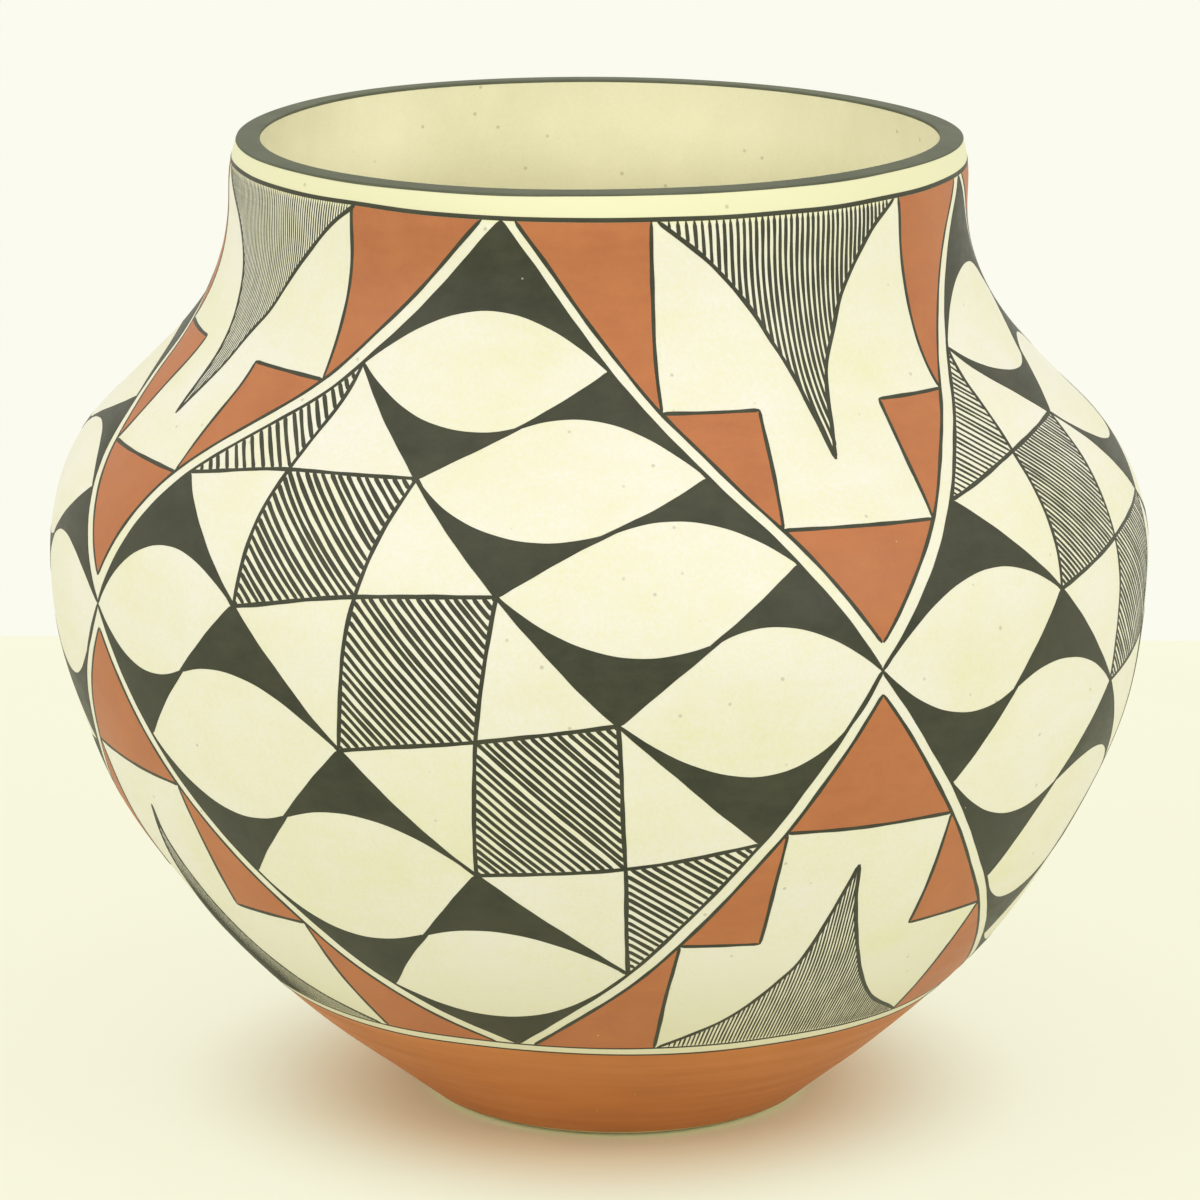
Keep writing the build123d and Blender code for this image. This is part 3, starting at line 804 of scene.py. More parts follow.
class Pattern:
    """The painted pattern, in places that are angles round the jar and runs up the wall."""

    def __init__(self, context):
        self.wall = Wall(context)
        self.sizes, self.paint = context.scene.jar_sizes, context.scene.jar_paint
        self.colours = context.scene.jar_colours
        self.top_height = HEIGHT - self.paint.rim_band_width - self.paint.neck_line
        self.base_height = self.sizes.foot_slip_top + self.paint.base_gap + self.paint.base_line
        self.diamonds = [Diamond(self, number) for number in range(REPEATS)]

    def places(self, shares):
        """Places (angle, run) from angles and shares of the painted height."""
        shares = np.asarray(shares, float)
        height = self.base_height + shares[..., 1] * (self.top_height - self.base_height)
        return np.stack((shares[..., 0], self.wall.run_at(height)), -1)

    def run(self, share):
        """Run at a share of the painted height."""
        return float(self.places((0, share))[1])

    def panel_middle(self, number):
        """Angle of the middle of the panel between a diamond and the next one."""
        return degrees(self.paint.pattern_turn) + SECTOR * (number + 1 / 2)

    def strokes(self, paths, width, seed):
        """Brush lines along paths of (angle, run)."""
        random = np.random.default_rng(seed)
        return [stroke(self.wall, path, width, random) for path in paths]

    def lay(self, name, fields, kind, node, finish="mineral_black_paint"):
        """Adds films of one kind of paint over fields, as one piece."""
        shape = film(self.wall, fields, LIFTS[kind] * self.paint.thickness)
        make_piece(name, shape, material(finish, self.colours), [node])


def panel_edges(pattern, end, number):
    """Left and right edges of a panel from its wide end to its point, as paths (angle, run).

    The panel lies between a diamond and the next one. Its edges run beside their sides.
    """
    paint, wall = pattern.paint, pattern.wall
    diamond, after = pattern.diamonds[number], pattern.diamonds[(number + 1) % REPEATS]
    whole_turn = (360 * (number + 1 == REPEATS), 0)
    if end == "neck":
        side, edges = 1, (diamond.row_line(0, 0, 4), after.column_line(0, 0, 3) + whole_turn)
    else:
        side, edges = -1, (diamond.column_line(4, 3, 0), after.row_line(3, 4, 0) + whole_turn)
    runs = np.linspace(pattern.run((side + 1) // 2), pattern.run(GRID_SHARES[0, 4, 1]), PANEL_POINTS)
    angles = []
    for edge, shares, way in zip(edges, PANELS[end]["bands"], (side, -side)):
        share = np.interp(np.linspace(0, 2, len(edge)), range(3), shares)
        edge = wall.beside(edge, way * (paint.frame_line + paint.frame_band * share))
        angles.append(np.interp(runs, edge[::-side, 1], edge[::-side, 0]))
    point = np.argmax(angles[1] <= angles[0]) or len(runs)
    return [np.stack((angle[:point], runs[:point]), -1) for angle in angles]


def cut_path(path, low, high):
    """Part of a path between two runs."""
    order = np.argsort(path[:, 1])
    runs = np.linspace(low, high, SIDE_POINTS)
    return np.stack((np.interp(runs, path[order, 1], path[order, 0]), runs), -1)


def panel_parts(pattern, end, number):
    """Orange fields of one panel, and the paths of their outlines."""
    edges = panel_edges(pattern, end, number)
    wide = edges[0][0, 1]
    centre = pattern.panel_middle(number)
    fields, lines, points = [], [*edges], []
    for edge, shares, sag in zip(edges, PANELS[end]["fields"][number], (PANEL_SAG, -PANEL_SAG)):
        edge_step, corner_step, inner = (pattern.run(share) for share in shares[:3])
        step_corner, field_corner = (centre + angle for angle in shares[3:])
        outer, stepped = cut_path(edge, wide, edge_step), cut_path(edge, edge_step, inner)
        corner = np.array((field_corner, wide))
        outer_line = bow(corner, (outer[-1] + corner) / 2 - (sag, 0), outer[-1], CURVE_POINTS)
        step_place = np.array((step_corner, corner_step))
        step_line = np.stack((step_place, stepped[-1]))
        fields += [(outer, outer_line), (stepped, step_line)]
        lines += [outer_line, np.stack((outer[-1], step_place)), step_line]
        points.append(cut_path(edge, inner, edge[-1, 1]))
    fields.append(tuple(points))
    lines.append(np.stack([point[0] for point in points]))
    return [field_between(pattern.wall, *field) for field in fields], lines


def hatch_strokes(pattern, panel, number, count):
    """Strokes of a panel's hatched field, from its wide end until they meet a curved side.

    A stroke that starts at angle a0 on the wide end is at a0 (1 - closing t) + slant t at share t of the
    way to the tip, the fan being the slant and the closing.
    """
    left, right = (
        spline(pattern.places(side) + np.stack((panel["leans"][number], np.zeros(len(side))), -1),
               np.linspace(0, len(side) - 1, HATCH_SIDE_POINTS))
        for side in panel["sides"]
    )
    wide, tip = left[0, 1], left[-1, 1]
    across = np.linspace(0, 1, count + 2)[1:-1] ** HATCH_CROWDING
    starts = left[0, 0] + (right[0, 0] - left[0, 0]) * across
    runs = np.linspace(wide, tip, HATCH_POINTS)
    upward = 1 if tip > wide else -1
    left_angle, right_angle = (
        np.interp(upward * runs, upward * side[:, 1], side[:, 0]) for side in (left, right)
    )
    slant, closing = panel["fan"]
    up = np.abs(runs - wide) / abs(tip - wide)
    centre = pattern.panel_middle(number)
    paths = []
    for start in starts:
        angles = start * (1 - closing * up) + slant * up
        inside = (angles > left_angle - HATCH_OVERRUN) & (angles < right_angle + HATCH_OVERRUN)
        last = len(runs) if inside.all() else int(np.argmin(inside))
        if last > SHORTEST_STROKE:
            paths.append(np.stack((angles[:last] + centre, runs[:last]), -1))
    return paths, [side + (centre, 0) for side in (left, right)]


def add(tree, kind, inputs=None, **settings):
    """Add a node with its settings and its inputs.

    An input is a value, a socket, or the node that it comes from, whose first usable output is taken.
    """
    made = tree.nodes.new(kind)
    for name, value in settings.items():
        setattr(made, name, value)
    for name, value in (inputs or {}).items():
        if isinstance(value, bpy.types.Node):
            value = next(socket for socket in value.outputs if socket.enabled)
        if isinstance(value, bpy.types.NodeSocket):
            tree.links.new(value, made.inputs[name])
        else:
            made.inputs[name].default_value = value
    return made


def rgba(value):
    """A colour property with full opacity."""
    return (*value, 1.0)


# Grains and holes, in millimetres: distance between them and size of one, then the share that shows and
# how strongly
GRIT = {"spacing": 5.5, "size": 0.55, "share": 0.4, "strength": 0.42, "colour": "grit"}
PINHOLES = {"spacing": 4.0, "size": 0.3, "share": 0.06, "strength": 0.5, "colour": "cream_shade"}

# Each finish's main and second colour, and how it was made. Patch and grain are sizes in millimetres,
# streak is a size across and a size up. Softness is how faint the drift between the colours is, and grit
# how much of it is grain rather than streaks. Real slip and paint have a grain of about 0.1 mm, too fine
# to show here, so it is drawn as coarse as it needs to show. The IOR starts from 1.5, as for fired clay
# and mineral paint, and is lowered until the sheen is as dull as the jar's.
FINISHES = {
    # Kaolin slip rubbed with a stone: a soft sheen, fine grain and dark grit, yellower and darker at its two
    # ends.
    "stone_polished_cream_slip": dict(
        main="cream", second="cream_shade", patch=26, streak=(30, 4.0), grain=0.8, specks=GRIT,
        softness=0.34, grit=0.72, bump=0.25, roughness=0.5,
        # The darker ends are painted shade of the upright neck band and of the lower wall, which get less
        # light.
        thin_and_shaded_ends=((20 * MM, 75 * MM), (HEIGHT - 5.5 * MM, HEIGHT - 7.5 * MM)),
    ),
    # The same slip wiped on inside the neck: duller and a little yellower, and set paler than the slip as
    # painted light for the shaded inside of the neck.
    "wiped_inside_slip_painted_light": dict(
        main="inside", second="cream_shade", patch=30, streak=(14, 45), grain=0.7, specks=GRIT,
        softness=0.6, grit=0.4, bump=0.4, roughness=0.62,
    ),
    # Mineral black boiled with plant juice: flat, with a brown tinge where the brush ran dry.
    "mineral_black_paint": dict(
        main="black", second="black_thin", patch=9, streak=(6, 2.2), grain=0.45, specks=PINHOLES,
        softness=0.32, grit=0.3, bump=0.2, roughness=0.5, ior=1.4,
    ),
    # The same black on the rim, greyer, paler in patches and duller: painted highlight of the light on the
    # rim's upturned top.
    "rim_black_paint_with_painted_highlight": dict(
        main="rim_black", second="rim_black_pale_highlight", patch=14, streak=(9, 6), grain=0.5, specks=PINHOLES,
        softness=0.5, grit=0.3, bump=0.2, roughness=0.6, ior=1.4,
    ),
    # Iron-rich clay paint: warm orange with lighter brush marks.
    "iron_orange_paint": dict(
        main="orange", second="orange_thin", patch=11, streak=(9, 2.4), grain=0.5, specks=PINHOLES,
        softness=0.42, grit=0.35, bump=0.2, roughness=0.52,
    ),
    # Red slip brushed round the base while the jar turned: level streaks, thicker in places.
    "brushed_red_slip": dict(
        main="red", second="red_dark", patch=22, streak=(40, 2.4), grain=0.6, specks=PINHOLES,
        softness=0.52, grit=0.25, bump=0.25, roughness=0.5,
    ),
    # Bare fired clay with ground sherds in it: chalky and gritty, and set paler than the clay as painted
    # light that throws more light round the inside of the jar.
    "bare_fired_clay_painted_light": dict(
        main="clay", second="cream_shade", patch=14, streak=(34, 3.0), grain=0.8, specks=GRIT,
        softness=0.4, grit=0.4, bump=0.6, roughness=0.8,
    ),
}
# Share of a speck's size inside which it has its full colour, range of the noise that the polish follows
# and how far it changes the roughness, and height of the relief
SPECK_CORE_SHARE = 0.45
POLISH_RANGE = (0.3, 0.7)
POLISH_CHANGE = 0.06
RELIEF = 0.05 * MM


def earthen(name, colours, main, second, patch, streak, grain, specks, softness, grit, bump, roughness,
            ior=1.45, thin_and_shaded_ends=()):
    """Matte mineral surface, of fired slip or paint.

    Its colour drifts from main to second in soft patches, brush streaks and grain, and specks are set
    into it. Thin and shaded ends are heights where the coat takes the second colour, partly as painted
    shade, each as the height where it has it in full and the height where it starts to.
    """
    made, tree = new_material(name)
    main, second, speck_colour = (
        rgba(getattr(colours, part)) for part in (main, second, specks["colour"])
    )
    place = add(tree, "ShaderNodeTexCoord").outputs["Object"]
    patches = add(tree, "ShaderNodeTexNoise", {
        "Vector": place, "Scale": 1 / (patch * MM), "Detail": 4.0, "Roughness": 0.6,
    })
    across, upwards = (1 / (part * MM) for part in streak)
    along = add(tree, "ShaderNodeMapping", {"Vector": place, "Scale": (across, across, upwards)})
    streaks = add(tree, "ShaderNodeTexNoise", {
        "Vector": along, "Scale": 1.0, "Detail": 3.0, "Roughness": 0.55,
    })
    grains = add(tree, "ShaderNodeTexNoise", {
        "Vector": place, "Scale": 1 / (grain * MM), "Detail": 2.0, "Roughness": 0.5,
    })
    marks = add(tree, "ShaderNodeMix", {"Factor": grit, "A": streaks, "B": grains})
    drift = add(tree, "ShaderNodeMath", {0: patches, 1: marks}, operation="ADD")
    thin = add(tree, "ShaderNodeMapRange", {
        "Value": drift, "From Min": 1 - softness, "From Max": 1 + softness,
    })
    height = add(tree, "ShaderNodeSeparateXYZ", {"Vector": place}).outputs["Z"]
    # Towards the thin and shaded ends the coat darkens into painted shade.
    for full, start in thin_and_shaded_ends:
        shaded_end = add(tree, "ShaderNodeMapRange", {"Value": height, "From Min": start, "From Max": full})
        thin = add(tree, "ShaderNodeMath", {0: thin, 1: shaded_end}, operation="MAXIMUM")
    body = add(tree, "ShaderNodeMix", {"Factor": thin, "A": main, "B": second}, data_type="RGBA")
    cells = add(tree, "ShaderNodeTexVoronoi", {
        "Vector": place, "Scale": 1 / (specks["spacing"] * MM), "Randomness": 1.0,
    })
    size = specks["size"] / specks["spacing"]
    spot = add(tree, "ShaderNodeMapRange", {
        "Value": cells.outputs["Distance"], "From Min": size, "From Max": size * SPECK_CORE_SHARE,
    })
    chance = add(tree, "ShaderNodeSeparateColor", {"Color": cells.outputs["Color"]}).outputs["Red"]
    chosen = add(tree, "ShaderNodeMath", {0: chance, 1: 1 - specks["share"]}, operation="GREATER_THAN")
    mask = add(tree, "ShaderNodeMath", {0: spot, 1: chosen}, operation="MULTIPLY")
    strength = add(tree, "ShaderNodeMath", {0: mask, 1: specks["strength"]}, operation="MULTIPLY")
    speckled = add(tree, "ShaderNodeMix", {
        "Factor": strength, "A": body, "B": speck_colour,
    }, data_type="RGBA")
    relief = add(tree, "ShaderNodeMath", {0: grains, 1: streaks}, operation="ADD")
    raised = add(tree, "ShaderNodeBump", {"Strength": bump, "Distance": RELIEF, "Height": relief})
    polish = add(tree, "ShaderNodeMapRange", {
        "Value": streaks, "From Min": POLISH_RANGE[0], "From Max": POLISH_RANGE[1],
        "To Min": roughness - POLISH_CHANGE, "To Max": roughness + POLISH_CHANGE,
    })
    shader = add(tree, "ShaderNodeBsdfPrincipled", {
        "Base Color": speckled, "Roughness": polish, "IOR": ior, "Normal": raised,
    })
    add(tree, "ShaderNodeOutputMaterial", {"Surface": shader})
    return made


def new_material(name):
    """An empty material and its node tree."""
    made = bpy.data.materials.new(name)
    made.use_nodes = True
    made.node_tree.nodes.clear()
    return made, made.node_tree


def material(name, colours):
    """One of the jar's finishes, made once and then shared."""
    return bpy.data.materials.get(name) or earthen(name, colours, **FINISHES[name])


class ClayCoils(bpy.types.Operator):
    """Adds the clay base and every coil course above it, lapped and scraped as the potter left them"""

    bl_idname = "jar.clay_coils"
    bl_label = "Clay base and coils"

    def execute(self, context):
        wall = Wall(context)
        clay = material("bare_fired_clay_painted_light", context.scene.jar_colours)
        slant, bevel = wall.sizes.lap_length / 2, wall.sizes.rim_bevel_drop / 2
        joints = wall.run_at(np.array(COIL_JOINT_SHARES) * HEIGHT)
        runs = [*joints, wall.top - RIM_PAINT_THICKNESS]
        for number, (low, high) in enumerate(zip(runs, runs[1:]), 1):
            if number < len(joints):
                name, node = f"clay_coil_{number:02d}", f"coil_course_{number:02d}"
                section = layer_section(low, high, wall.outer, wall.inner, slant, slant)
            else:
                name, node = "clay_rim_coil", "rim_coil"
                section = layer_section(low, high - bevel, wall.outer, wall.inner, slant, -bevel)
            make_piece(name, turned(wall, section, CLAY_ROUND_STEPS), clay, [node])
        make_piece("clay_base", base_shape(wall, joints[0], slant), clay, ["base"])
        return {"FINISHED"}


def base_shape(wall, joint, slant):
    """Closed bowl of the base: hollow underside, resting ring, outer wall, lapped top, inside and floor.

    The hollow is a paraboloid, depth (1 - t^2) high at share t of its radius, and the inside's lower
    corner is a bow from the wall to the flat floor. All rows are turned round the axis.
    """
    sizes = wall.sizes
    angles = round_angles(CLAY_ROUND_STEPS)[None, :]
    share = np.linspace(0, 1, FLAT_ROWS)[:, None]
    ring_inside = sizes.foot_radius - sizes.resting_ring_width
    ring_outside = sizes.foot_radius - FOOT_EDGE_WIDTH
    hollow = wall.turn(angles, ring_inside * share, sizes.foot_hollow_depth * (1 - share**2))
    ring = wall.turn(angles, ring_inside + (ring_outside - ring_inside) * share[3::4], 0 * share[3::4])
    outside_runs = np.linspace(FOOT_EDGE_HEIGHT, joint + slant, OUTER_ROWS)[:, None]
    outside = wall.place(angles, outside_runs, wall.outer)
    corner_run = float(wall.run_at(sizes.floor_thickness + CORNER_HEIGHT))
    inside = wall.place(angles, np.linspace(joint - slant, corner_run, INNER_ROWS)[:, None], wall.inner)
    wall_end = np.array(wall.offset(corner_run, wall.inner))
    floor_start = np.array((wall_end[0] - CORNER_WIDTH, sizes.floor_thickness))
    corner = np.array((wall_end[0] - CORNER_BEND, sizes.floor_thickness))
    curve = bow(wall_end, corner, floor_start, BEND_ROWS)[1:]
    bend = wall.turn(angles, curve[:, :1], curve[:, 1:])
    flat = np.full_like(share[1:], sizes.floor_thickness)
    floor = wall.turn(angles, floor_start[0] * (1 - share[1:]), flat)
    return close_poles(np.concatenate([
        np.broadcast_to(part, (part.shape[0], CLAY_ROUND_STEPS, 3))
        for part in (hollow, ring, outside, inside, bend, floor)
    ]))


def close_poles(points):
    """Shape of a surface turned round the axis whose first and last rows shrink to one point each."""
    rows, columns = points.shape[:2]
    vertices = np.concatenate((points[1:-1].reshape(-1, 3), points[[0, -1], 0]))
    bottom, top = len(vertices) - 2, len(vertices) - 1
    around = np.arange(columns)
    after = (around + 1) % columns
    last = (rows - 3) * columns
    first_fan = np.stack((np.full(columns, bottom), after, around), -1)
    last_fan = np.stack((np.full(columns, top), last + around, last + after), -1)
    return vertices, [quads(rows - 2, columns, wrap_columns=True), first_fan, last_fan]


class Slips(bpy.types.Operator):
    """Adds the cream slip outside, the red slip of the base and the slip inside the neck"""

    bl_idname = "jar.slips"
    bl_label = "Slips"

    def execute(self, context):
        wall, colours = Wall(context), context.scene.jar_colours
        sizes = wall.sizes
        rim = wall.top - RIM_PAINT_THICKNESS - sizes.rim_bevel_drop
        start, split = (float(wall.run_at(height)) for height in (sizes.foot_slip_start, sizes.foot_slip_top))
        outside, inside = (0.0, wall.outer), (wall.inner, wall.inner - sizes.slip_thickness)
        inside_runs = (wall.top - sizes.inside_slip_depth, wall.top - INSIDE_SLIP_DROP)
        for name, runs, lifts, finish, node in (
            ("cream_slip", (split, rim), outside, "stone_polished_cream_slip", "cream_slip_coat"),
            ("red_slip", (start, split), outside, "brushed_red_slip", "red_slip_coat"),
            ("inside_slip", inside_runs, inside, "wiped_inside_slip_painted_light", "neck_inside_slip"),
        ):
            shape = turned(wall, layer_section(*runs, *lifts), ROUND_STEPS)
            make_piece(name, shape, material(finish, colours), [node])
        return {"FINISHED"}


class RimPaint(bpy.types.Operator):
    """Adds the black paint over the rim, worn at its edges, coloured paler than the body's black as painted
    highlight
    """

    bl_idname = "jar.rim_paint"
    bl_label = "Rim paint"

    def execute(self, context):
        wall = Wall(context)
        above, drop_share, out, depth_share = RIM_PAINT_SECTION.T[..., None]
        angles = round_angles(2 * ROUND_STEPS)
        runs = wall.top + above * MM - drop_share * wall.sizes.rim_bevel_drop + 0 * angles
        runs[:LOWER_EDGE_POINTS] += wall.wave(RIM_PAINT_WAVES, angles)
        lifts = out * MM + depth_share * (wall.inner - wall.sizes.slip_thickness)
        black = material("rim_black_paint_with_painted_highlight", context.scene.jar_colours)
        make_piece("rim_black", tube(wall.place(angles, runs, lifts)), black, ["rim_paint"])
        return {"FINISHED"}


class RingLines(bpy.types.Operator):
    """Adds the line under the neck band and the two lines above the red slip"""

    bl_idname = "jar.ring_lines"
    bl_label = "Lines round the jar"

    def execute(self, context):
        pattern = Pattern(context)
        wall, paint = pattern.wall, pattern.paint
        black = material("mineral_black_paint", pattern.colours)
        neck_low, slip_top, base_top = (
            float(wall.run_at(height))
            for height in (pattern.top_height, pattern.sizes.foot_slip_top, pattern.base_height)
        )
        for node, low, high in (
            ("neck_line", neck_low, neck_low + paint.neck_line),
            ("base_line_upper", base_top - paint.base_line, base_top),
            ("base_line_lower", slip_top - paint.base_line, slip_top),
        ):
            shape = ring_film(wall, low, high, LIFTS["ring"] * paint.thickness)
            make_piece(f"{node}_black", shape, black, [node])
        return {"FINISHED"}


class LeafGrounds(bpy.types.Operator):
    """Adds the black grounds that leave the diamonds' leaves bare"""

    bl_idname = "jar.leaf_grounds"
    bl_label = "Grounds round the leaves"

    def execute(self, context):
        pattern = Pattern(context)
        corners = [
            diamond.leaf_sides(row, column, lower)
            for diamond in pattern.diamonds
            for row in (0, 2) for column in range(4) for lower in (False, True)
        ]
        fields = [field_between(pattern.wall, *sides) for sides in corners]
        width = LEAF_EDGE_SHARE * pattern.paint.cell_line
        edges = pattern.strokes([edge for _, edge in corners], width, SEEDS["leaf_edges"])
        pattern.lay("leaf_grounds_black", fields, "field", "leaf_grounds")
        pattern.lay("leaf_edges_black", edges, "leaf_edge", "leaf_grounds")
        return {"FINISHED"}


class DiamondLines(bpy.types.Operator):
    """Adds the lines round each diamond and between the cells in it"""

    bl_idname = "jar.diamond_lines"
    bl_label = "Diamond lines"

    def execute(self, context):
        pattern = Pattern(context)
        frames, cells = [], []
        for diamond in pattern.diamonds:
            frames += [
                diamond.row_line(0, 0, 4), diamond.column_line(4, 0, 3),
                diamond.row_line(3, 4, 0), diamond.column_line(0, 3, 0),
            ]
            cells += [diamond.row_line(row, 0, 4) for row in (1, 2)]
            cells += [diamond.column_line(column, row, row + 1) for column in range(1, 4) for row in (0, 2)]
            cells += [diamond.diagonal(column, rises, 0, 2) for column in range(4) for rises in (0, 1)]
        paint = pattern.paint
        for name, paths, width in (("frames", frames, paint.frame_line), ("cells", cells, paint.cell_line)):
            strokes = pattern.strokes(paths, width, SEEDS[name])
            pattern.lay(f"diamond_{name}_black", strokes, "line", "diamond_lines")
        return {"FINISHED"}


class DiamondHatching(bpy.types.Operator):
    """Adds the fine parallel strokes in each diamond's middle cells"""

    bl_idname = "jar.diamond_hatching"
    bl_label = "Diamond hatching"

    def execute(self, context):
        pattern = Pattern(context)
        paint = pattern.paint
        strokes = []
        for number, diamond in enumerate(pattern.diamonds):
            width_share = FINE_DIAMOND_SHARE if number else 1
            counts = [round(share * paint.square_strokes / width_share) for share in CELL_STROKE_SHARES]
            random = np.random.default_rng(SEEDS["diamond_stroke_places"] + number)
            paths, width = diamond.hatching(counts, random), paint.hatch_line * width_share
            strokes += pattern.strokes(paths, width, SEEDS["diamond_strokes"] + number)
        pattern.lay("diamond_hatching_black", strokes, "hatching", "diamond_hatching")
        return {"FINISHED"}


class Panels(bpy.types.Operator):
    """Adds the orange stepped fields between the diamonds, at the neck and the foot, with their outlines"""

    bl_idname = "jar.panels"
    bl_label = "Stepped panels"

    def execute(self, context):
        pattern = Pattern(context)
        for end in PANELS:
            parts = [panel_parts(pattern, end, number) for number in range(REPEATS)]
            fields, lines = (sum((part[at] for part in parts), []) for at in (0, 1))
            node = f"{end}_panel_fields"
            pattern.lay(f"{end}_panels_orange", fields, "field", node, "iron_orange_paint")
            outlines = pattern.strokes(lines, pattern.paint.field_line, SEEDS[f"{end}_outlines"])
            pattern.lay(f"{end}_panels_outline", outlines, "outline", node)
        return {"FINISHED"}


class PanelHatching(bpy.types.Operator):
    """Adds the finely hatched curved fields of the panels"""

    bl_idname = "jar.panel_hatching"
    bl_label = "Panel hatching"

    def execute(self, context):
        pattern = Pattern(context)
        paint = pattern.paint
        for end, panel in PANELS.items():
            strokes, edges = [], []
            for number, (count, width) in enumerate(zip(panel["counts"], panel["widths"])):
                paths, outlines = hatch_strokes(pattern, panel, number, round(count * paint.panel_strokes))
                width *= paint.panel_hatch_line
                strokes += pattern.strokes(paths, width, SEEDS["panel_strokes"] + number)
                edges += pattern.strokes(outlines, paint.cell_line, SEEDS["panel_stroke_outlines"] + number)
            node = f"{end}_panel_hatching"
            pattern.lay(f"{end}_hatching_black", strokes, "hatching", node)
            pattern.lay(f"{end}_hatching_outline", edges, "outline", node)
        return {"FINISHED"}


class Studio(bpy.types.Operator):
    """Adds the pale floor, the backdrop, the lamps and the camera"""

    bl_idname = "jar.studio"
    bl_label = "Studio"

    def execute(self, context):
        scene, colours = context.scene, context.scene.jar_colours
        left, right, front, back = FLOOR_EDGES
        x, y = np.meshgrid(
            np.linspace(left, right, FLOOR_POINTS), np.linspace(front, back, FLOOR_POINTS), indexing="ij",
        )
        places = np.stack((x, y, np.zeros_like(x)), -1).reshape(-1, 3)
        floor_mesh = bpy.data.meshes.new("floor")
        floor_mesh.from_pydata(places, [], quads(FLOOR_POINTS, FLOOR_POINTS)[:, ::-1].tolist())
        floor = bpy.data.objects.new("floor", floor_mesh)
        scene.collection.objects.link(floor)
        floor_mesh.materials.append(floor_material(colours))
        light_world(scene, colours)
        for name, place, width, power in LAMPS:
            light = bpy.data.lights.new(name, "AREA")
            light.shape, light.size, light.energy = "DISK", width, power
            hang_lamp(scene, light, place, (0, 0, HEIGHT / 2))
        for side in (-1, 1):
            light = bpy.data.lights.new("mouth_lamp", "SPOT")
            light.shadow_soft_size, light.energy, light.spot_size, light.spot_blend = MOUTH_LAMP_BEAM
            hang_lamp(scene, light, *(MOUTH_LAMP_AIM * (side, 1, 1)))
        aim_camera(scene)
        scene.view_settings.view_transform = "Standard"
        return {"FINISHED"}


def hang_lamp(scene, light, place, target):
    """Lamp at a place, turned towards a target."""
    lamp = bpy.data.objects.new(light.name, light)
    lamp.location = place
    lamp.rotation_euler = (Vector(target) - Vector(place)).to_track_quat("-Z", "Y").to_euler()
    scene.collection.objects.link(lamp)


def seen_rays(tree):
    """Socket that is 1 for the rays that the camera, reflections and glass see by, and 0 for light."""
    ray = add(tree, "ShaderNodeLightPath").outputs
    direct = add(tree, "ShaderNodeMath", {
        0: ray["Is Camera Ray"], 1: ray["Is Glossy Ray"],
    }, operation="MAXIMUM")
    return add(tree, "ShaderNodeMath", {0: direct, 1: ray["Is Transmission Ray"]}, operation="MAXIMUM")


def floor_material(colours):
    """Matte studio paper, warm white, yellower by the jar as painted shadow tint, and away from it mixed, for
    the camera only, with painted light that fades the jar's shadow out.
    """
    made, tree = new_material("matte_studio_paper")
    place = add(tree, "ShaderNodeTexCoord").outputs["Object"]
    clouds = add(tree, "ShaderNodeTexNoise", {"Vector": place, "Scale": 1 / CLOUD_SIZE, "Detail": 3.0})
    low, high, most = CLOUD_RANGE
    tint = add(tree, "ShaderNodeMapRange", {
        "Value": clouds, "From Min": low, "From Max": high, "To Max": most,
    })
    clouded = add(tree, "ShaderNodeMix", {
        "Factor": tint, "A": rgba(colours.floor), "B": rgba(colours.floor_cloud),
    }, data_type="RGBA")
    far = add(tree, "ShaderNodeVectorMath", {0: place}, operation="LENGTH").outputs["Value"]
    away = add(tree, "ShaderNodeMapRange", {
        "Value": far, "From Min": PAINTED_SHADOW_REACH[0], "From Max": PAINTED_SHADOW_REACH[1],
    }, interpolation_type="SMOOTHSTEP")
    # Close to the jar the floor takes its painted shadow tint.
    body = add(tree, "ShaderNodeMix", {
        "Factor": away, "A": rgba(colours.floor_shadow_tint), "B": clouded,
    }, data_type="RGBA")
    paper = add(tree, "ShaderNodeBsdfPrincipled", {"Base Color": body, "Roughness": 0.8})
    # Painted light, seen by the camera only, fading the jar's shadow out away from the jar.
    painted_light = add(tree, "ShaderNodeEmission", {"Color": rgba(colours.floor_painted_light), "Strength": 1.0})
    seen = add(tree, "ShaderNodeMath", {0: away, 1: seen_rays(tree)}, operation="MULTIPLY")
    share = add(tree, "ShaderNodeMath", {0: seen, 1: PAINTED_LIGHT_SHARE}, operation="MULTIPLY")
    shader = add(tree, "ShaderNodeMixShader", {"Fac": share, 1: paper, 2: painted_light})
    add(tree, "ShaderNodeOutputMaterial", {"Surface": shader})
    return made


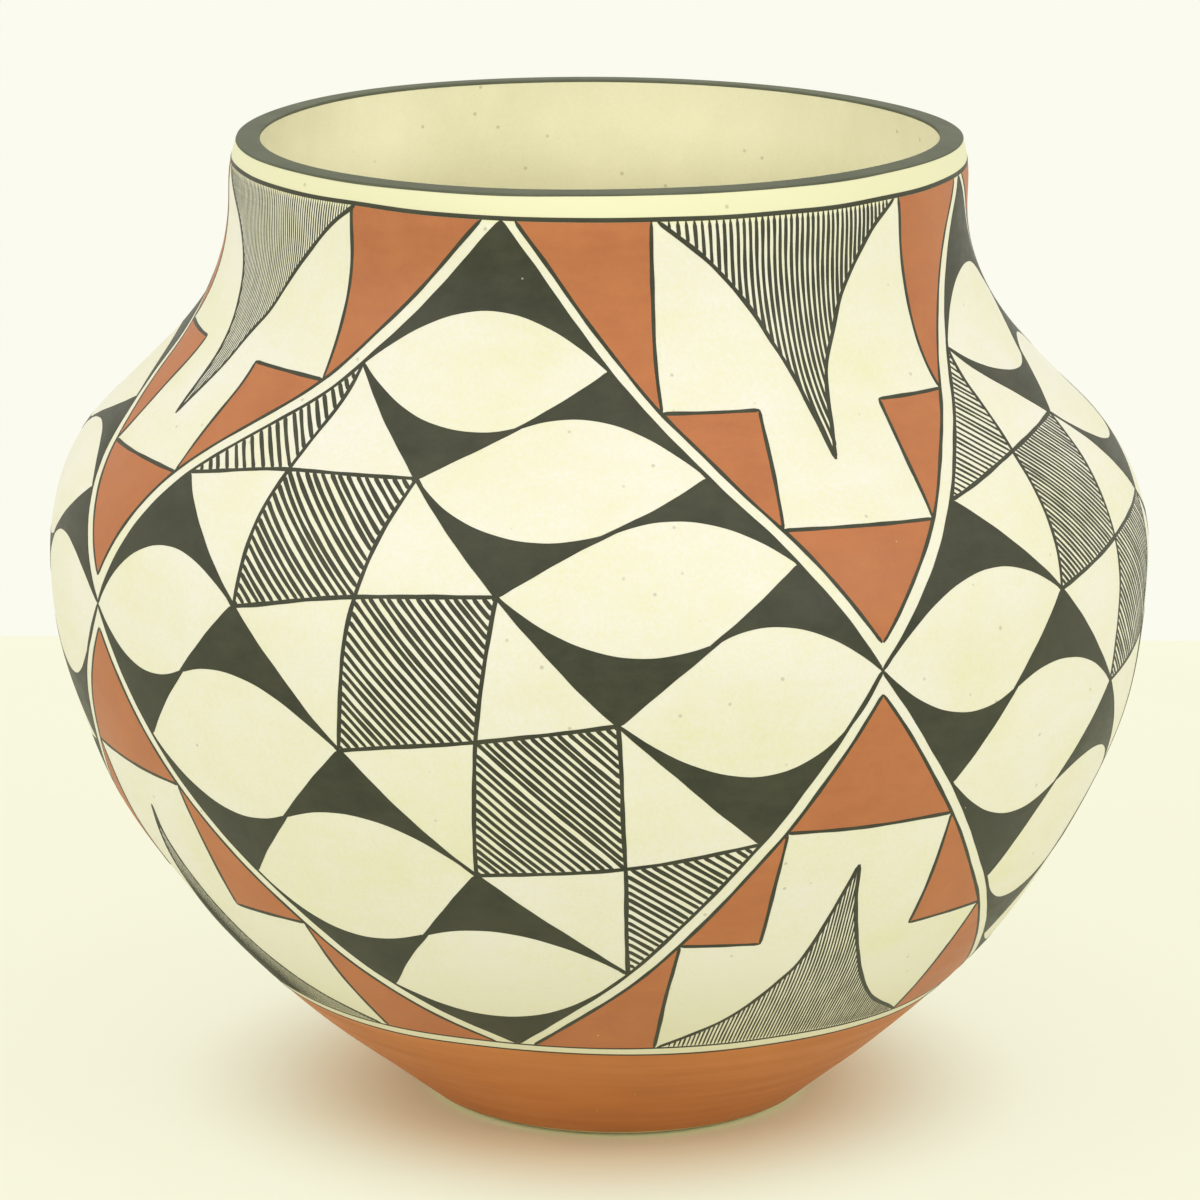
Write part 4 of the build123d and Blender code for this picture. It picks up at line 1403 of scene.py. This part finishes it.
def light_world(scene, colours):
    """Even light from all round, which the camera and reflections see as the pale backdrop."""
    scene.world = bpy.data.worlds.new("studio")
    scene.world.use_nodes = True
    tree = scene.world.node_tree
    tree.nodes.clear()
    dull = add(tree, "ShaderNodeBackground", {"Color": rgba((1, 1, 1)), "Strength": WORLD_STRENGTH})
    pale = add(tree, "ShaderNodeBackground", {"Color": rgba(colours.backdrop), "Strength": 1.0})
    blend = add(tree, "ShaderNodeMixShader", {"Fac": seen_rays(tree), 1: dull, 2: pale})
    add(tree, "ShaderNodeOutputWorld", {"Surface": blend})


def aim_camera(scene):
    """Camera at the photograph's viewpoint: far off, a little above the rim, and a hair out of level."""
    camera = bpy.data.cameras.new("camera")
    camera.sensor_fit, camera.sensor_width = "HORIZONTAL", SENSOR_WIDTH
    camera.lens = FOCAL_PIXELS / PICTURE_PIXELS * SENSOR_WIDTH
    holder = bpy.data.objects.new("camera", camera)
    holder.location = CAMERA_PLACE
    level = Euler((pi / 2 - CAMERA_TILT, 0, 0)).to_matrix()
    holder.rotation_euler = (level @ Matrix.Rotation(CAMERA_ROLL, 3, "Z")).to_euler()
    scene.collection.objects.link(holder)
    scene.camera = holder


class JarPanel(bpy.types.Panel):
    """Lists the jar's pieces in the sidebar"""

    bl_idname = "VIEW3D_PT_jar"
    bl_label = "Pueblo pottery jar"
    bl_space_type = "VIEW_3D"
    bl_region_type = "UI"
    bl_category = "Jar"

    def draw(self, context):
        for step in STEPS:
            self.layout.operator(step.bl_idname)
        for group in (context.scene.jar_sizes, context.scene.jar_paint, context.scene.jar_colours):
            box = self.layout.box()
            for name in group.__annotations__:
                box.prop(group, name)


STEPS = (
    Studio, ClayCoils, Slips, RimPaint, RingLines, LeafGrounds, DiamondLines, DiamondHatching, Panels,
    PanelHatching,
)
GROUPS = {"jar_sizes": JarSizes, "jar_paint": PaintSizes, "jar_colours": JarColours}


def register():
    """Register every class, and hang the sizes and colours on the scene."""
    for part in (*GROUPS.values(), *STEPS, JarPanel):
        bpy.utils.register_class(part)
    for name, group in GROUPS.items():
        setattr(bpy.types.Scene, name, PointerProperty(type=group))


def unregister():
    """Take everything back that register added."""
    for name in GROUPS:
        delattr(bpy.types.Scene, name)
    for part in (JarPanel, *reversed(STEPS), *GROUPS.values()):
        bpy.utils.unregister_class(part)


def main():
    """Build the jar and its studio."""
    register()
    for step in STEPS:
        category, name = step.bl_idname.split(".")
        getattr(getattr(bpy.ops, category), name)()
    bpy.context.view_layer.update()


if __name__ == "__main__":
    main()
